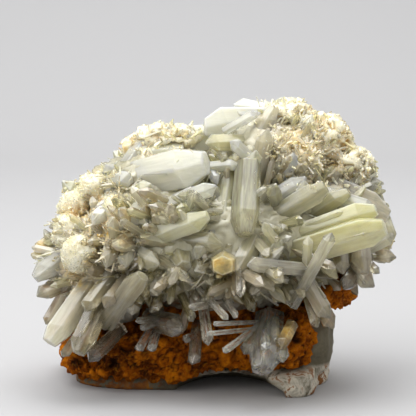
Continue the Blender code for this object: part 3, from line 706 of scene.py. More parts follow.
def milky_quartz(name, soaking, depth):
    """Milky crystal: frosted inside, glossy outside, with clouds, veils and iron stains along the growth, and
    a painted highlight on the bevels.
    """
    recipe = Recipe(name, soaking, Roughness=0.35, IOR=1.54, Subsurface_Weight=1.0, Subsurface_Scale=depth,
                    Coat_Weight=0.6, Coat_Roughness=0.06)
    recipe.shader.inputs["Subsurface Radius"].default_value = (1.0, 0.95, 0.75)
    tint = recipe.value("tint", "Color")
    grain = recipe.value("grain", "Vector")
    stain = recipe.value("stain")
    clear = recipe.value("clear")
    place = recipe.place()
    clouds = recipe.noise(place, 90.0, 5.0, 0.6, 0.6)
    veils = recipe.noise(recipe.stretched(grain, (0.5, 0.5, 0.06)), 1.0, 3.0, 0.55, 0.5)
    body = recipe.over(tint, (0.94, 0.93, 0.80), clouds, 0.35, 0.75, 0.45)
    body = recipe.mix(recipe.fit(veils, 0.25, 0.6, 0.12, 0.0), body, (0.74, 0.70, 0.46))
    speck = recipe.noise(place, 420.0, 4.0, 0.65)
    patches = recipe.noise(place, 130.0, 4.0, 0.6)
    rust = recipe.times(recipe.fade(stain, 0.0, 0.7), recipe.fade(patches, 0.38, 0.62))
    rust_colour = recipe.ramp(speck, [
        (0.3, (0.46, 0.24, 0.04)), (0.55, (0.66, 0.48, 0.15)), (0.75, (0.80, 0.72, 0.42)),
    ])
    body = recipe.mix(rust, body, rust_colour)
    clearer = recipe.node("ShaderNodeMath", {0: clear, 1: 0.38}, operation="POWER").outputs["Value"]
    see_through = recipe.times(clearer, recipe.fit(veils, 0.3, 0.6, 1.0, 0.82))
    see_through = recipe.times(see_through, recipe.fit(rust, 0.0, 1.0, 1.0, 0.1))
    # Painted highlight: the bevel faces are lightened
    edge = recipe.value("edge")
    body = recipe.over(body, (0.95, 0.95, 0.90), edge, 0.0, 1.0, 0.15)
    growth = recipe.noise(recipe.stretched(grain, (0.5, 0.5, 3.2)), 1.0, 2.0, 0.5)
    pocks = recipe.noise(place, 900.0, 2.0, 0.6)
    height = recipe.plus(growth, recipe.times(pocks, 0.35))
    recipe.use(
        Base_Color=body, Transmission_Weight=see_through,
        Roughness=recipe.fit(clouds, 0.3, 0.7, 0.05, 0.2),
        Normal=recipe.bump(height, 0.16, 0.0004),
    )
    return recipe.material


def clear_quartz():
    """Clear prism: plain transmission with a faint warm absorption."""
    recipe = Recipe("clear_quartz", Roughness=0.06, IOR=1.54, Transmission_Weight=0.92)
    tint = recipe.value("tint", "Color")
    grain = recipe.value("grain", "Vector")
    body = recipe.mix(0.6, tint, (0.98, 0.96, 0.90))
    edge = recipe.value("edge")
    growth = recipe.noise(recipe.stretched(grain, (0.5, 0.5, 3.0)), 1.0, 2.0, 0.5)
    veils = recipe.noise(recipe.stretched(grain, (0.3, 0.3, 0.12)), 1.0, 4.0, 0.6, 1.0)
    recipe.use(
        Base_Color=body, Normal=recipe.bump(growth, 0.25, 0.0003),
        Roughness=recipe.fit(veils, 0.4, 0.7, 0.02, 0.22),
        # Painted highlight: the bevel faces are less see-through, so they show lighter
        Transmission_Weight=recipe.times(
            recipe.fit(edge, 0.0, 1.0, 1.0, 0.86), recipe.fit(veils, 0.45, 0.75, 0.96, 0.6)
        ),
    )
    absorb = recipe.node("ShaderNodeVolumeAbsorption")
    absorb.inputs["Color"].default_value = (0.80, 0.74, 0.62, 1.0)
    absorb.inputs["Density"].default_value = 12.0
    output = next(node for node in recipe.tree.nodes if node.type == "OUTPUT_MATERIAL")
    recipe.tree.links.new(absorb.outputs["Volume"], output.inputs["Volume"])
    return recipe.material


def sugary_quartz():
    """Fine druse: white to cream grains that glitter, with ochre in the hollows."""
    recipe = Recipe("sugary_quartz", Roughness=0.22, IOR=1.54, Subsurface_Weight=1.0, Subsurface_Scale=0.006,
                    Coat_Weight=0.4, Coat_Roughness=0.05)
    recipe.shader.inputs["Subsurface Radius"].default_value = (1.0, 0.9, 0.6)
    place = recipe.place()
    stain = recipe.value("stain")
    clouds = recipe.noise(place, 120.0, 5.0, 0.65, 0.4)
    fine = recipe.noise(place, 600.0, 3.0, 0.6)
    body = recipe.ramp(clouds, [
        (0.3, (0.60, 0.52, 0.33)), (0.5, (0.74, 0.69, 0.50)), (0.65, (0.80, 0.77, 0.63)),
    ])
    rust = recipe.times(recipe.fit(stain, 0.0, 0.6, 0.0, 0.95), recipe.fade(clouds, 0.66, 0.46))
    rust_colour = recipe.ramp(fine, [
        (0.3, (0.38, 0.18, 0.04)), (0.6, (0.60, 0.42, 0.17)), (0.8, (0.74, 0.62, 0.36)),
    ])
    body = recipe.mix(rust, body, rust_colour)
    recipe.use(
        Base_Color=body, Roughness=recipe.fit(fine, 0.3, 0.7, 0.12, 0.4),
        Normal=recipe.bump(fine, 0.4, 0.0005),
    )
    return recipe.material


def limonite_material():
    """Rusty crust: orange-brown grains and yellow dust, with painted light on the knobs and painted shade
    near black in the creases and pits.
    """
    recipe = Recipe("limonite", Roughness=0.85)
    recipe.shader.inputs["Specular IOR Level"].default_value = 0.05
    place = recipe.place()
    hollow = recipe.value("hollow")
    knob = recipe.value("knob")
    large = recipe.noise(place, 75.0, 6.0, 0.65, 0.8)
    fine = recipe.noise(place, 520.0, 5.0, 0.7, 0.5)
    rust = recipe.ramp(large, [
        (0.32, (0.022, 0.006, 0.001)), (0.42, (0.10, 0.022, 0.001)), (0.53, (0.31, 0.072, 0.002)),
        (0.66, (0.56, 0.170, 0.003)),
    ])
    # Painted light: the raised knobs are lightened
    bright = recipe.over(rust, (0.55, 0.165, 0.004), knob, 0.2, 1.0, 0.45)
    dust = recipe.over(bright, (0.64, 0.27, 0.010), fine, 0.52, 0.75, 0.5)
    dark = recipe.over(dust, (0.05, 0.014, 0.003), fine, 0.46, 0.30, 0.8)
    # Painted shade: creases, cracks and pits go nearly black
    body = recipe.over(dark, (0.018, 0.007, 0.003), hollow, 0.1, 0.8, 0.93)
    height = recipe.plus(large, recipe.times(fine, 0.8))
    recipe.use(
        Base_Color=body, Roughness=recipe.fit(fine, 0.3, 0.7, 0.85, 0.5),
        Normal=recipe.bump(height, 1.0, 0.0014),
    )
    return recipe.material


def rock_material():
    """Grey-green rock with fine grain, a cream rind at its rim and brown specks."""
    recipe = Recipe("grey_green_rock", Roughness=0.8)
    place = recipe.place()
    rind = recipe.value("rind")
    crusted = recipe.value("crusted")
    large = recipe.noise(place, 70.0, 5.0, 0.6, 0.4)
    fine = recipe.noise(place, 900.0, 4.0, 0.7)
    body = recipe.ramp(large, [
        (0.3, (0.080, 0.066, 0.036)), (0.55, (0.125, 0.106, 0.062)), (0.75, (0.18, 0.155, 0.10)),
    ])
    body = recipe.over(body, (0.26, 0.235, 0.17), fine, 0.4, 0.75, 0.35)
    patch = recipe.noise(place, 160.0, 5.0, 0.65, 0.6)
    cover = recipe.times(rind, recipe.fade(patch, 0.36, 0.5))
    body = recipe.mix(cover, body, (0.66, 0.61, 0.50))
    brown = recipe.times(rind, recipe.fade(patch, 0.54, 0.58))
    body = recipe.mix(brown, body, (0.26, 0.10, 0.02))
    rust = recipe.ramp(large, [
        (0.35, (0.05, 0.014, 0.002)), (0.5, (0.20, 0.06, 0.003)), (0.65, (0.40, 0.15, 0.008)),
    ])
    body = recipe.mix(recipe.times(crusted, recipe.fade(patch, 0.56, 0.50)), body, rust)
    recipe.use(
        Base_Color=body, Roughness=recipe.fit(fine, 0.3, 0.7, 0.6, 0.95),
        Normal=recipe.bump(recipe.plus(large, recipe.times(fine, 0.3)), 0.6, 0.0008),
    )
    return recipe.material


# Rough bodies
def made_mesh(obj, keep_layers):
    """The mesh that an object's modifiers make. The object is removed."""
    graph = bpy.context.evaluated_depsgraph_get()
    mesh = bpy.data.meshes.new_from_object(
        obj.evaluated_get(graph), preserve_all_data_layers=keep_layers, depsgraph=graph
    )
    bpy.data.objects.remove(obj, do_unlink=True)
    return mesh


def melted_mesh(name, source_mesh, voxel):
    """One closed skin of even small faces round a mesh, in metres."""
    obj = bpy.data.objects.new(name, source_mesh)
    bpy.context.scene.collection.objects.link(obj)
    remesh = obj.modifiers.new("melt", "REMESH")
    remesh.mode = "VOXEL"
    remesh.voxel_size = voxel * MM
    return made_mesh(obj, False)


def soft_skin(name, source_mesh, voxel, rounds):
    """A skin with softened corners, with its points in millimetres and its normals."""
    mesh = melted_mesh(name, source_mesh, voxel)
    points = smooth_points(mesh, mesh_points(mesh), rounds)
    set_points(mesh, points)
    return mesh, points, mesh_normals(mesh)


def node_copy(node):
    """The welded mesh of a solid, left as it is in the frame."""
    bm = bmesh.new()
    bm.from_mesh(frame["nodes"][node].data)
    bmesh.ops.remove_doubles(bm, verts=bm.verts, dist=1e-6)
    return mesh_of(node + "_copy", bm)


def mesh_points(mesh):
    flat = np.empty(len(mesh.vertices) * 3, dtype=np.float32)
    mesh.vertices.foreach_get("co", flat)
    return flat.reshape(-1, 3).astype(np.float64) / MM


def mesh_normals(mesh):
    flat = np.empty(len(mesh.vertices) * 3, dtype=np.float32)
    mesh.vertex_normals.foreach_get("vector", flat)
    return flat.reshape(-1, 3).astype(np.float64)


def set_points(mesh, points):
    mesh.vertices.foreach_set("co", (points * MM).astype(np.float32).ravel())
    mesh.update()


def smooth_points(mesh, points, rounds):
    """Pulls each point to the middle of its neighbours, to soften the solid's corners."""
    count = len(mesh.edges) * 2
    ends = np.empty(count, dtype=np.int32)
    mesh.edges.foreach_get("vertices", ends)
    ends = ends.reshape(-1, 2)
    tally = np.bincount(ends.ravel(), minlength=len(points)).astype(np.float64)[:, None]
    for _ in range(rounds):
        total = np.zeros_like(points)
        for axis in range(3):
            total[:, axis] = np.bincount(ends[:, 0], points[ends[:, 1], axis], len(points))
            total[:, axis] += np.bincount(ends[:, 1], points[ends[:, 0], axis], len(points))
        points = 0.5 * points + 0.5 * total / tally
    return points


def noise_values(points, grain, octaves=3, roughness=1.0):
    """Layered noise from about -1 to 1 at each point; grain is the size of its lumps in millimetres."""
    return np.array([noise.fractal(Vector(point) / grain, roughness, 2.0, octaves) for point in points])


def cell_values(points, grain):
    """Distance to the nearest and second nearest seed point, for knobs and cracks."""
    near = np.empty((len(points), 2))
    for index, point in enumerate(points):
        distances, _ = noise.voronoi(Vector(point) / grain)
        near[index] = distances[0], distances[1]
    return near


# Pits in the crust: place, radius, depth
CRUST_PITS = [
    ((-59, 18, 8), 8, 5), ((-50, 16, 10), 6, 4), ((-28, 17, 12), 4.5, 4), ((-40, 28, 12), 5, 4),
    ((4, 27, 14), 5, 5), ((-16, 29, 14), 5, 5), ((19, 23, 22), 4, 4), ((-8, 15, 14), 3, 2.5),
    ((-48, 12, 8), 3, 2), ((10, 18, 18), 3.4, 3), ((44, 32, 22), 4, 3), ((-20, 44, 14), 6, 5),
    ((10, 42, 16), 7, 6), ((-33, 12, 10), 2.4, 2), ((30, 16, 24), 3, 2.5), ((38, 24, 26), 2.6, 2),
    ((70, 52, 24), 3.5, 2.5), ((62, 57, 26), 3, 2.5),
]


def build_limonite(material):
    """The limonite crust: knobs with creases between them, pits and crumbs."""
    mesh, points, normals = soft_skin("limonite", node_copy("limonite_crust"), 0.85, 8)
    swell = noise_values(points, 15.0, 2)
    folds = noise_values(points + swell[:, None] * 3.0, 6.5, 3)
    cracks = noise_values(points + 40.0, 3.4, 3)
    crumbs = noise_values(points, 1.5, 2)
    crease = np.clip(1.0 - np.abs(folds) / 0.13, 0.0, 1.0)
    crack = np.clip(1.0 - np.abs(cracks) / 0.09, 0.0, 1.0) * np.clip(folds * 4.0, 0.0, 1.0)
    depth = swell * 2.4 + np.abs(folds) * 4.2 - 1.7 + np.abs(cracks) * 1.8 + crumbs * 0.45
    hollow = np.maximum(crease * 0.9, crack * 0.6)
    for centre, radius, sink in CRUST_PITS:
        distance = np.linalg.norm(points - np.array(seen(*centre)), axis=1) / radius
        wobble = distance + 0.5 * folds
        pit = np.clip(1.3 * (1.0 - wobble * wobble), 0.0, 1.0)
        depth -= pit * sink
        hollow = np.maximum(hollow, pit * 1.1)
    depth = np.clip(depth, -7.0, 2.0)
    points = points + normals * depth[:, None]
    points[:, 2] = np.maximum(points[:, 2], 0.2)
    set_points(mesh, points)
    # Marks for the painted shade in the creases and pits and the painted light on the knobs
    put_values(mesh, "hollow", np.clip(hollow, 0.0, 1.0))
    put_values(mesh, "knob", np.clip(depth / 2.0, 0.0, 1.0))
    mesh.shade_smooth()
    crust = show("limonite_surface", mesh, material)
    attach(crust, "root")
    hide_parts("limonite_crust")


def build_rock(material):
    """The host rock, with broken faces and a pale rind along its lower rim."""
    mesh, points, normals = soft_skin("rock", node_copy("host_rock"), 1.2, 3)
    lumps = noise_values(points, 9.0, 4)
    chips = cell_values(points, 7.0)
    broken = np.clip(chips[:, 1] - chips[:, 0], 0.0, 0.4)
    depth = lumps * 0.7 + broken * 1.2 - 0.4 + noise_values(points, 1.6, 2) * 0.2
    foot = climb(points[:, 2], 0.5, 2.0)
    points = points + normals * (depth * foot)[:, None]
    points[:, 2] = np.where(points[:, 2] < 0.5, 0.0, points[:, 2])
    set_points(mesh, points)
    low = climb(points[:, 2], 11.0, -5.0)
    right = climb(points[:, 0], 26.0, 10.0)
    rim = np.clip(1.6 - np.abs(points[:, 2] - 10.0) / 2.2, 0.0, 1.0) * 0.9
    left = climb(points[:, 0], -22.0, -8.0)
    put_values(mesh, "rind", np.maximum(low * right, rim))
    put_values(mesh, "crusted", left)
    mesh.shade_smooth()
    rock = show("rock_surface", mesh, material)
    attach(rock, "root")
    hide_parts("host_rock")


def lump_points(centre, half, swell, grain):
    """A rough ellipsoid as a mesh in millimetres."""
    bm = bmesh.new()
    bmesh.ops.create_icosphere(bm, subdivisions=LUMP_FINENESS, radius=1.0)
    for vert in bm.verts:
        way = vert.co.normalized()
        place = centre + Vector([size * part for size, part in zip(half, way)])
        slope = Vector([part / size for part, size in zip(way, half)]).normalized()
        vert.co = place + slope * (noise.fractal(place / grain, 1.0, 2.0, 3) * swell)
    return bm


def joined_lumps(name, shapes):
    """Several rough ellipsoids in one mesh, in metres."""
    whole = bmesh.new()
    for centre, half, swell, grain in shapes:
        part = lump_points(seen(*centre), half, swell, grain)
        bmesh.ops.scale(part, vec=(MM, MM, MM), verts=part.verts)
        mesh = mesh_of("part", part)
        whole.from_mesh(mesh)
        bpy.data.meshes.remove(mesh)
    return mesh_of(name, whole)


def build_bases(material):
    """The grown-together mass that the crystals spring from, grainy all over, with painted shade darkening it
    low down.
    """
    shapes = [(centre, half, 3.0, 14.0) for centre, half in QUARTZ_BASES]
    mesh, points, normals = soft_skin("bases", joined_lumps("bases", shapes), 1.3, 3)
    knobs = cell_values(points, 5.0)
    knobbly = np.clip(knobs[:, 1] - knobs[:, 0], 0.0, 0.5)
    depth = knobbly * 2.4 + noise_values(points, 3.0, 3) * 0.8 - 0.6
    points = points + normals * depth[:, None]
    set_points(mesh, points)
    put_values(mesh, "stain", stain_values(points))
    druse = druse_values(points)[:, None]
    # Painted shade: the bases turn nearly black low down, under the crystals
    painted_depth_shade = climb(points[:, 2], 66.0, -20.0)[:, None]
    tints = np.array(BASE_TINT) * (1.0 - druse) + np.array(DRUSE_TINT) * druse
    tints = tints * (1.0 - painted_depth_shade) + np.array(DEEP_PAINTED_SHADE) * painted_depth_shade
    put_values(mesh, "tint", tints)
    put_values(mesh, "clear", np.full(len(points), 0.2))
    put_values(mesh, "grain", points)
    mesh.shade_smooth()
    return show("quartz_bases", mesh, material)


def build_sugary_lumps(material):
    """Round crystals and crest lumps under a sugary skin."""
    shapes = [(centre, half, rough, 5.0) for centre, half, rough in SUGARY_LUMPS]
    mesh, points, normals = soft_skin("sugary", joined_lumps("sugary", shapes), 0.7, 2)
    knobs = cell_values(points, 2.2)
    crest = crest_weight(points, normals)
    dents = np.clip(noise_values(points + 20.0, 6.5, 3), -0.7, 0.12) * 6.0 * crest
    knobbly = np.clip(knobs[:, 1] - knobs[:, 0], 0.0, 0.5)
    depth = knobbly * 1.3 + noise_values(points, 4.0, 3) * 0.5 - 0.35 + dents
    set_points(mesh, points + normals * depth[:, None])
    put_values(mesh, "stain", np.maximum(stain_values(points), np.clip(-dents / 2.5, 0.0, 0.8)))
    mesh.shade_smooth()
    return show("sugary_lumps", mesh, material)


# Small crystals, scattered by Geometry Nodes
# Length and width in millimetres, number of sides, whether it ends in a point
SMALL_KINDS = {
    "blade": (10.0, 2.4, 6, False),
    "slab": (16.0, 4.6, 6, False),
    "needle": (12.0, 0.9, 5, True),
    "flake": (4.5, 1.7, 5, True),
    "grain": (1.5, 0.9, 5, True),
}
LIGHT_TINTS = (WHITE, WHITE, CREAM, CREAM, YELLOW)
MIXED_TINTS = (WHITE, CREAM, CREAM, YELLOW, BEIGE, OLIVE)
# Name, ground, kind, how many per square metre, smallest and largest size, how far the tips may stand off
# the solids in millimetres at the rim, whether they keep clear of large crystals, stance (rise, fan, swirl,
# unevenness), seed, tints, least and greatest clearness, painted shade of the root
SMALL_CRYSTALS = (
    ("large_blades", "large", "slab", 8.0e4, (0.9, 1.6), 3.5, True, (0.4, 14.0, 2.2, 0.5),
     21, MIXED_TINTS, (0.4, 0.8), 0.72),
    ("middle_blades", "base", "blade", 3.5e4, (0.7, 1.5), 3.0, True, (0.3, 14.0, 2.4, 0.6),
     11, MIXED_TINTS, (0.4, 0.8), 0.72),
    ("small_blades", "fine", "blade", 2.0e5, (0.18, 0.45), 2.5, True, (0.5, 10.0, 2.4, 0.8),
     12, LIGHT_TINTS, (0.1, 0.4), 0.72),
    ("fine_needles", "base", "needle", 5.0e4, (0.6, 1.2), 4.0, True, (0.4, 10.0, 1.8, 0.7),
     13, LIGHT_TINTS, (0.3, 0.6), 0.8),
    ("crest_blades", "crest", "flake", 5.0e5, (0.5, 1.3), 1.8, False, (0.2, 4.0, 2.4, 1.0),
     14, LIGHT_TINTS, (0.0, 0.2), 0.9),
    ("crest_arms", "crest", "blade", 5.0e4, (0.4, 1.0), 3.0, False, (0.25, 6.0, 2.4, 1.0),
     18, LIGHT_TINTS, (0.1, 0.4), 0.9),
    ("sugar_grains", "ball", "grain", 1.2e6, (0.4, 1.1), 1.6, False, (1.0, 0.0, 1.0, 0.8),
     15, LIGHT_TINTS, (0.0, 0.2), 1.0),
    ("druse_flakes", "druse", "flake", 3.0e5, (0.5, 1.2), 2.0, False, (0.3, 4.0, 2.4, 1.0),
     16, LIGHT_TINTS, (0.0, 0.2), 0.8),
    ("crystal_druse", "crystal", "flake", 1.5e5, (0.25, 0.8), 1.6, False, (0.3, 4.0, 2.0, 1.0),
     17, LIGHT_TINTS, (0.0, 0.2), 0.8),
)


def small_crystal(name, length, width, lean, flat, sides, pointed, group):
    """A short crystal of a few faces, standing on its base, in metres."""
    bm = bmesh.new()
    cap = min(0.5 * width, 0.3 * length)
    bmesh.ops.create_cone(
        bm, cap_ends=True, segments=sides, radius1=0.44 * width, radius2=0.5 * width, depth=length - cap
    )
    bmesh.ops.translate(bm, vec=(0.0, 0.0, 0.5 * (length - cap)), verts=bm.verts)
    top = max(bm.faces, key=lambda face: face.calc_center_median().z)
    raised = bmesh.ops.extrude_face_region(bm, geom=[top])["geom"]
    bmesh.ops.delete(bm, geom=[top], context="FACES_ONLY")
    ends = [part for part in raised if isinstance(part, bmesh.types.BMVert)]
    for vert in ends:
        vert.co.x = 0.25 * vert.co.x + lean * width
        vert.co.y = 0.25 * vert.co.y + 0.3 * lean * width
        vert.co.z = length
    if pointed:
        bmesh.ops.pointmerge(bm, verts=ends, merge_co=(lean * width, 0.3 * lean * width, length))
    bmesh.ops.scale(bm, vec=(MM, flat * MM, MM), verts=bm.verts)
    bmesh.ops.recalc_face_normals(bm, faces=bm.faces)
    mesh = mesh_of(name, bm)
    put_values(mesh, "grain", [tuple(vert.co / MM) for vert in mesh.vertices])
    group.objects.link(bpy.data.objects.new(name, mesh))


def crystal_set(name, length, width, sides, pointed):
    """Four shapes of one kind of small crystal, and how many corners each has."""
    group = bpy.data.collections.new(name)
    bpy.context.scene.collection.children.link(group)
    for letter, longer, wider, lean, flat in (
        ("a", 1.0, 1.0, 0.12, 0.8), ("b", 0.75, 1.1, -0.2, 0.65),
        ("c", 1.2, 0.8, 0.05, 0.9), ("d", 0.6, 1.2, 0.3, 0.55),
    ):
        small_crystal(f"{name}_{letter}", length * longer, width * wider, lean, flat, sides, pointed, group)
    return group, 2 * sides + 1 if pointed else 3 * sides


def scatter_tree(name, shapes, material, density, sizes, rise, fan, swirl, uneven, seed):
    """Grows crystals on a surface by its weight. They rise along its normals, fan out, swirl and vary."""
    tree = bpy.data.node_groups.new(name, "GeometryNodeTree")
    for side in ("INPUT", "OUTPUT"):
        tree.interface.new_socket("Geometry", in_out=side, socket_type="NodeSocketGeometry")

    def add(kind, output, inputs=None, **settings):
        return add_node(tree, kind, inputs, **settings).outputs[output]

    def vectors(operation, first, second):
        other = "Scale" if operation == "SCALE" else 1
        return add("ShaderNodeVectorMath", "Vector", {0: first, other: second}, operation=operation)

    def numbers(operation, first, second):
        return add("ShaderNodeMath", "Value", {0: first, 1: second}, operation=operation)

    weight = add("GeometryNodeInputNamedAttribute", "Attribute", {"Name": "grow"}, data_type="FLOAT")
    points = add_node(tree, "GeometryNodeDistributePointsOnFaces", {
        "Mesh": add("NodeGroupInput", "Geometry"),
        "Density": numbers("MULTIPLY", density, weight),
        "Seed": seed,
    })
    place = add("GeometryNodeInputPosition", "Position")
    drift = add("ShaderNodeTexNoise", "Color", {"Vector": place, "Scale": 45.0, "Detail": 2.0})
    swirled = vectors("SCALE", vectors("SUBTRACT", drift, (0.5, 0.5, 0.5)), swirl)
    spread = add(
        "FunctionNodeRandomValue", 0, {0: (-1.0, -1.0, -1.0), 1: (1.0, 1.0, 1.0), "Seed": seed},
        data_type="FLOAT_VECTOR",
    )
    lean = vectors("ADD", swirled, vectors("SCALE", spread, uneven))
    level = vectors("MULTIPLY", vectors("SUBTRACT", place, tuple(FAN_CENTRE * MM)), (1.0, 0.3, 1.0))
    bent = vectors("ADD", vectors("SCALE", level, fan), lean)
    way = vectors("ADD", vectors("SCALE", points.outputs["Normal"], rise), bent)
    stand = add("FunctionNodeAlignRotationToVector", "Rotation", {"Vector": way}, axis="Z")
    chance = add("FunctionNodeRandomValue", 1, {"Seed": seed}, data_type="FLOAT")
    smallest, largest = sizes
    gap = numbers("SUBTRACT", largest, smallest)
    size = numbers("ADD", numbers("MULTIPLY", numbers("POWER", chance, 1.8), gap), smallest)
    stretch = add("FunctionNodeRandomValue", 1, {2: 0.7, 3: 1.4}, data_type="FLOAT")
    tall = numbers("MULTIPLY", size, stretch)
    grown = add("GeometryNodeInstanceOnPoints", "Instances", {
        "Pick Instance": True,
        "Points": points.outputs["Points"],
        "Instance": add("GeometryNodeCollectionInfo", 0, {
            "Separate Children": True, "Reset Children": True, "Collection": shapes,
        }),
        "Rotation": stand,
        "Scale": add("ShaderNodeCombineXYZ", "Vector", {"X": size, "Y": size, "Z": tall}),
    })
    spin = add(
        "FunctionNodeRandomValue", 0, {0: (0.0, 0.0, 0.0), 1: (0.0, 0.0, math.tau)}, data_type="FLOAT_VECTOR"
    )
    turned = add("GeometryNodeRotateInstances", "Instances", {"Instances": grown, "Rotation": spin})
    real = add("GeometryNodeRealizeInstances", "Geometry", {"Geometry": turned})
    painted = add("GeometryNodeSetMaterial", "Geometry", {"Geometry": real, "Material": material})
    add_node(tree, "NodeGroupOutput", {"Geometry": painted})
    return tree


def hides_large_crystal(tips):
    """Which tips stand before a large crystal as the cluster is seen from the front."""
    view = np.array([(1.0, 0.0, 0.0), tuple(VIEW_UPWARD), tuple(TO_VIEWER)]).T
    spots = tips @ view
    hidden = np.zeros(len(tips), dtype=bool)
    rows = CROWN_CRYSTALS + MIDDLE_CRYSTALS + RIGHT_CRYSTALS + LEFT_CRYSTALS
    for base, tip, width, *_ in rows:
        if width < CLEAR_STANDING_WIDTH:
            continue
        start = np.array(seen(*base)) @ view
        end = np.array(seen(*tip)) @ view
        run = end[:2] - start[:2]
        share = np.clip((spots[:, :2] - start[:2]) @ run / max(run @ run, 1.0), 0.25, 1.0)
        axis = start + share[:, None] * (end - start)
        aside = np.linalg.norm(spots[:, :2] - axis[:, :2], axis=1)
        hidden |= (aside < 0.52 * width) & (spots[:, 2] > axis[:, 2] - 3.0)
    return hidden


def freedom(tips):
    """How far small crystals may stand off the solids: more in the middle of the front, less at the rim."""
    off = tips - np.array(FAN_CENTRE)
    beside = off[:, 0] / FREE_HALF_WIDTH
    above = (off[:, 2] - FREE_MIDDLE_UP) / FREE_HALF_HEIGHT
    ring = np.sqrt(beside ** 2 + above ** 2)
    front = np.clip((-off[:, 1] - 5.0) / 15.0, 0.0, 1.0)
    return 1.0 + FREEDOM * front * climb(ring, 1.0, -0.35)


def cut_back(mesh, corners, reach, shy):
    """Takes out small crystals that stand too far off the solids, are buried or hide large ones."""
    points = mesh_points(mesh).reshape(-1, corners, 3)
    tips = points[:, -1, :]
    hidden = hides_large_crystal(tips) & shy
    reaches = freedom(tips) * reach
    bm = bmesh.new()
    bm.from_mesh(mesh)
    bm.verts.ensure_lookup_table()
    doomed = []
    for number, tip in enumerate(tips):
        spot, normal, _, distance = SOLID_SKIN.find_nearest(Vector(tip) * MM)
        outside = (Vector(tip) * MM - spot).dot(normal) > 0.0
        if hidden[number] or distance > (reaches[number] if outside else BURIED) * MM:
            start = number * corners
            doomed.extend(bm.verts[start:start + corners])
    bmesh.ops.delete(bm, geom=doomed, context="VERTS")
    bm.to_mesh(mesh)
    bm.free()


def solid_skin():
    """The skin of the main quartz solid, the rock and the crust, to measure from."""
    whole = bmesh.new()
    for node in ("quartz_cluster", "host_rock", "limonite_crust"):
        whole.from_mesh(frame["nodes"][node].data)
    skin = BVHTree.FromBMesh(whole)
    whole.free()
    return skin


SOLID_SKIN = solid_skin()


def scatter(name, ground, kind, density, sizes, reach, shy, stance, seed, tints, clears, root, material):
    """Small crystals grown on a surface, as one plain mesh."""
    shapes, corners = kind
    obj = bpy.data.objects.new(name, ground)
    bpy.context.scene.collection.objects.link(obj)
    modifier = obj.modifiers.new("scatter", "NODES")
    modifier.node_group = scatter_tree(name + "_tree", shapes, material, density, sizes, *stance, seed)
    mesh = made_mesh(obj, True)
    mesh.name = name
    cut_back(mesh, corners, reach, shy)
    points = mesh_points(mesh)
    paint_small_crystals(mesh, points, corners, seed, tints, clears, root)
    mesh.shade_flat()
    finished = show(name, mesh, material)
    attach(finished, "root")


def paint_small_crystals(mesh, points, corners, seed, tints, clears, root):
    """Each small crystal gets its own tint and clearness, and a root darkened as painted shade, stained with
    iron instead in the druse.
    """
    count = len(points) // corners
    chance = np.random.default_rng(seed)
    shade = chance.uniform(0.9, 1.08, (count, 1))
    colours = np.array(tints)[chance.integers(0, len(tints), count)] * shade
    roots = points.reshape(count, corners, 3)[:, 0, :]
    # Painted shade low on the cluster
    colours = colours * painted_low_shade(roots)
    druse = druse_values(roots)[:, None]
    # Painted shade on the roots, with iron stain instead in the druse
    root_colours = colours * root * (1.0 - druse) + np.array(ROOT_STAIN) * druse
    if root > 0.9:
        root_colours = colours
    is_root = np.arange(corners) < corners // 3
    colours = np.where(is_root[None, :, None], root_colours[:, None, :], colours[:, None, :]).reshape(-1, 3)
    for old in ("grow", "stain", "tint", "clear"):
        if old in mesh.attributes:
            mesh.attributes.remove(mesh.attributes[old])
    put_values(mesh, "tint", colours)
    put_values(mesh, "clear", np.repeat(chance.uniform(clears[0], clears[1], count), corners))
    put_values(mesh, "stain", stain_values(points) * np.tile(np.where(is_root, 1.0, 0.3), count))


def outer_weight(points, normals):
    """Above the crust, and less on the back."""
    high = climb(points[:, 2], 50.0, 8.0)
    back = np.where(normals[:, 1] > 0.3, 0.5, 1.0)
    return high * back * (1.0 - bare_values(points))


def large_weight(points, normals):
    """Away from the crest and from the sugary left shoulder."""
    crest = climb(points[:, 2], 104.0, 8.0)
    shoulder = climb(points[:, 0], -38.0, -6.0) * climb(points[:, 2], 72.0, 6.0)
    return outer_weight(points, normals) * (1.0 - np.maximum(crest, shoulder))


def crest_weight(points, normals):
    """The crest, where thin blades stand in all directions."""
    across, up, _ = as_seen(points)
    return climb(up, 98.0, 6.0) * climb(across, -50.0, 6.0)


def ball_weight(points, normals):
    return 1.0 - crest_weight(points, normals)


def druse_weight(points, normals):
    return druse_values(points) * (1.0 - bare_values(points))


def fine_weight(points, normals):
    """Everywhere above the crust, but thin outside the druse."""
    return outer_weight(points, normals) * (0.3 + 0.7 * druse_values(points))


def growing(source, rule, sink):
    """A copy of a surface, sunk a little, that marks by weight where small crystals grow."""
    mesh = source.copy()
    points = mesh_points(mesh)
    normals = mesh_normals(mesh)
    for name in ("stain", "tint", "clear", "grain"):
        if name in mesh.attributes:
            mesh.attributes.remove(mesh.attributes[name])
    put_values(mesh, "grow", rule(points, normals))
    set_points(mesh, points - normals * sink)
    return mesh


def build_stage():
    """A pale sweep: a floor that curves up into a backdrop."""
    reach, back, tall, bend, steps = 2.6, 1.1, 2.0, 0.35, 16
    profile = [(-1.8, 0.0), (back - bend, 0.0)]
    for step in range(1, steps + 1):
        angle = 0.5 * math.pi * step / steps
        profile.append((back - bend + bend * math.sin(angle), bend - bend * math.cos(angle)))
    profile.append((back, tall))
    bm = bmesh.new()
    rows = [[bm.verts.new((side * reach, y, z)) for side in (-1, 1)] for y, z in profile]
    for low, high in zip(rows, rows[1:]):
        bm.faces.new((low[0], low[1], high[1], high[0]))
    mesh = mesh_of("paper_sweep", bm)
    mesh.shade_smooth()
    recipe = Recipe("pale_paper", Roughness=0.9)
    recipe.shader.inputs["Base Color"].default_value = (0.44, 0.44, 0.446, 1.0)
    sweep = show("paper_sweep", mesh, recipe.material)


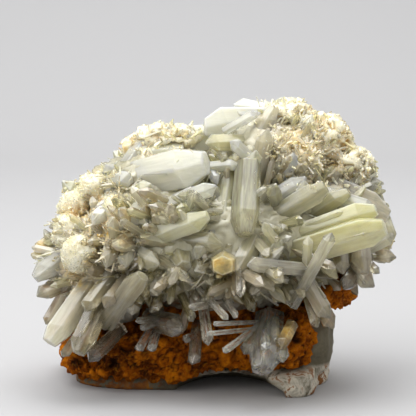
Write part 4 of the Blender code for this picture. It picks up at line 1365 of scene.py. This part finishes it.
def add_area_light(name, place, aim, size, power, colour=(1.0, 1.0, 1.0)):
    light = bpy.data.lights.new(name, "AREA")
    light.shape = "RECTANGLE"
    light.size, light.size_y = size
    light.energy = power
    light.color = colour
    obj = bpy.data.objects.new(name, light)
    obj.location = place
    obj.rotation_euler = (Vector(aim) - Vector(place)).to_track_quat("-Z", "Y").to_euler()
    bpy.context.scene.collection.objects.link(obj)


def build_lights():
    aim = (0.0, 0.0, 0.08)
    add_area_light("window_left", (-0.70, -0.40, 0.95), aim, (1.2, 1.2), 10.5)
    add_area_light("softbox_above", (0.05, 0.12, 1.2), aim, (1.0, 1.0), 11.5)
    add_area_light("backdrop_glow", (0.1, 0.50, 1.3), (0.1, 1.1, 0.40), (0.8, 0.8), 2.5)
    world = bpy.data.worlds.new("studio_air")
    bpy.context.scene.world = world
    world.use_nodes = True
    tree = world.node_tree
    sky = tree.nodes["Background"]
    sky.inputs["Color"].default_value = (1.0, 0.99, 0.98, 1.0)
    where = tree.nodes.new("ShaderNodeTexCoord")
    split = tree.nodes.new("ShaderNodeSeparateXYZ")
    fade = tree.nodes.new("ShaderNodeMapRange")
    tree.links.new(where.outputs["Generated"], split.inputs["Vector"])
    tree.links.new(split.outputs["Z"], fade.inputs["Value"])
    for socket, value in (("From Min", 0.02), ("From Max", 0.6), ("To Min", 0.06), ("To Max", 0.95)):
        fade.inputs[socket].default_value = value
    tree.links.new(fade.outputs["Result"], sky.inputs["Strength"])


def build_camera():
    aim = (Vector((0.0, 0.0, VIEW_MIDDLE_HEIGHT)) + LAYOUT_SHIFT) * MM
    camera = bpy.data.cameras.new("camera")
    camera.sensor_width = 36.0
    camera.lens = camera.sensor_width * VIEW_DISTANCE / VIEW_WIDTH
    obj = bpy.data.objects.new("camera", camera)
    obj.location = aim + TO_VIEWER * VIEW_DISTANCE * MM
    obj.rotation_euler = (-TO_VIEWER).to_track_quat("-Z", "Y").to_euler()
    bpy.context.scene.collection.objects.link(obj)
    bpy.context.scene.camera = obj


def build_crystals(milky, clear):
    """All the crystals of the solids, as milky ones and clear ones."""
    main = Layers()
    slim = Layers()
    for prefix, rows in (
        ("crown", CROWN_CRYSTALS), ("middle", MIDDLE_CRYSTALS), ("right", RIGHT_CRYSTALS),
        ("left", LEFT_CRYSTALS), ("lower", LOWER_CRYSTALS),
    ):
        for number, row in enumerate(rows, 1):
            base, tip, width, flat, roll, blunt, tint, clearness = row
            if width < SLIM_CRYSTAL:
                blunt = POINTED
            pile = slim if clearness > CLOUDY_LIMIT else main
            name = f"{prefix}_{number:02d}"
            place_crystal(pile, name, seen(*base), seen(*tip), width, flat, roll, blunt, tint, clearness)
    for name, number, facing, reach, count, length, width in COVERS:
        centre, half = QUARTZ_BASES[number]
        add_cover(main, name, centre, half, facing, reach, count, length, width)
    milky_pieces = main.finish("milky_crystals", milky)
    clear_pieces = slim.finish("clear_prisms", clear)
    for piece in milky_pieces:
        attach(piece, "root")
        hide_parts("quartz_cluster")
    for piece in clear_pieces:
        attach(piece, "root")
    return joined_mesh("crystal_skin", milky_pieces)


def joined_mesh(name, pieces):
    """One plain mesh of several pieces, to grow small crystals on."""
    whole = bmesh.new()
    for piece in pieces:
        whole.from_mesh(piece.data)
    return mesh_of(name, whole)


def build_group(node, title, rows, cloudy, clear):
    """A small group of crystals that stands for its own solid, cloudy ones and clear ones."""
    piles = {cloudy: Layers(False), clear: Layers(False)}
    for number, (base, tip, width, flat, roll, blunt, tint, clearness) in enumerate(rows):
        if width < SLIM_CRYSTAL and number > 0:
            blunt = POINTED
        name = f"{node}_member_{number:02d}" if number else node
        pile = piles[clear if clearness > CLOUDY_LIMIT else cloudy]
        place_crystal(pile, name, seen(*base), seen(*tip), width, flat, roll, blunt, tint, clearness)
    for label, material in (("cloudy", cloudy), ("clear", clear)):
        for piece in piles[material].finish(f"{title}_{label}", material):
            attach(piece, "root")
            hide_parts(node)


def main():
    milky = milky_quartz("milky_quartz", "RANDOM_WALK", 0.006)
    druse = milky_quartz("milky_druse", "BURLEY", 0.002)
    clear = clear_quartz()
    sugary = sugary_quartz()
    build_limonite(limonite_material())
    build_rock(rock_material())
    crystals = build_crystals(milky, clear)
    build_group("stubby_front_crystals", "stubby_crystals", STUBBY_CRYSTALS, milky, clear)
    build_group("smoky_wedge_crystals", "smoky_crystals", SMOKY_CRYSTALS, milky, clear)
    build_group("brown_tip_crystals", "brown_crystals", BROWN_CRYSTALS, milky, clear)
    bases = build_bases(druse)
    lumps = build_sugary_lumps(sugary)
    for piece in (bases, lumps):
        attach(piece, "root")
    kinds = {name: crystal_set(name, *shape) for name, shape in SMALL_KINDS.items()}
    grounds = {
        "large": growing(bases.data, large_weight, 6.0),
        "base": growing(bases.data, outer_weight, 1.5),
        "fine": growing(bases.data, fine_weight, 1.0),
        "crest": growing(lumps.data, crest_weight, 0.8),
        "ball": growing(lumps.data, ball_weight, 0.4),
        "druse": growing(bases.data, druse_weight, 0.5),
        "crystal": growing(crystals, druse_weight, 0.1),
    }
    for name, ground, kind, *growth in SMALL_CRYSTALS:
        scatter(name, grounds[ground], kinds[kind], *growth, druse)
    for group, _ in kinds.values():
        for guide in list(group.objects):
            bpy.data.objects.remove(guide, do_unlink=True)
        bpy.data.collections.remove(group)
    build_stage()
    build_lights()
    build_camera()
    bpy.context.scene.view_settings.view_transform = "Standard"


main()
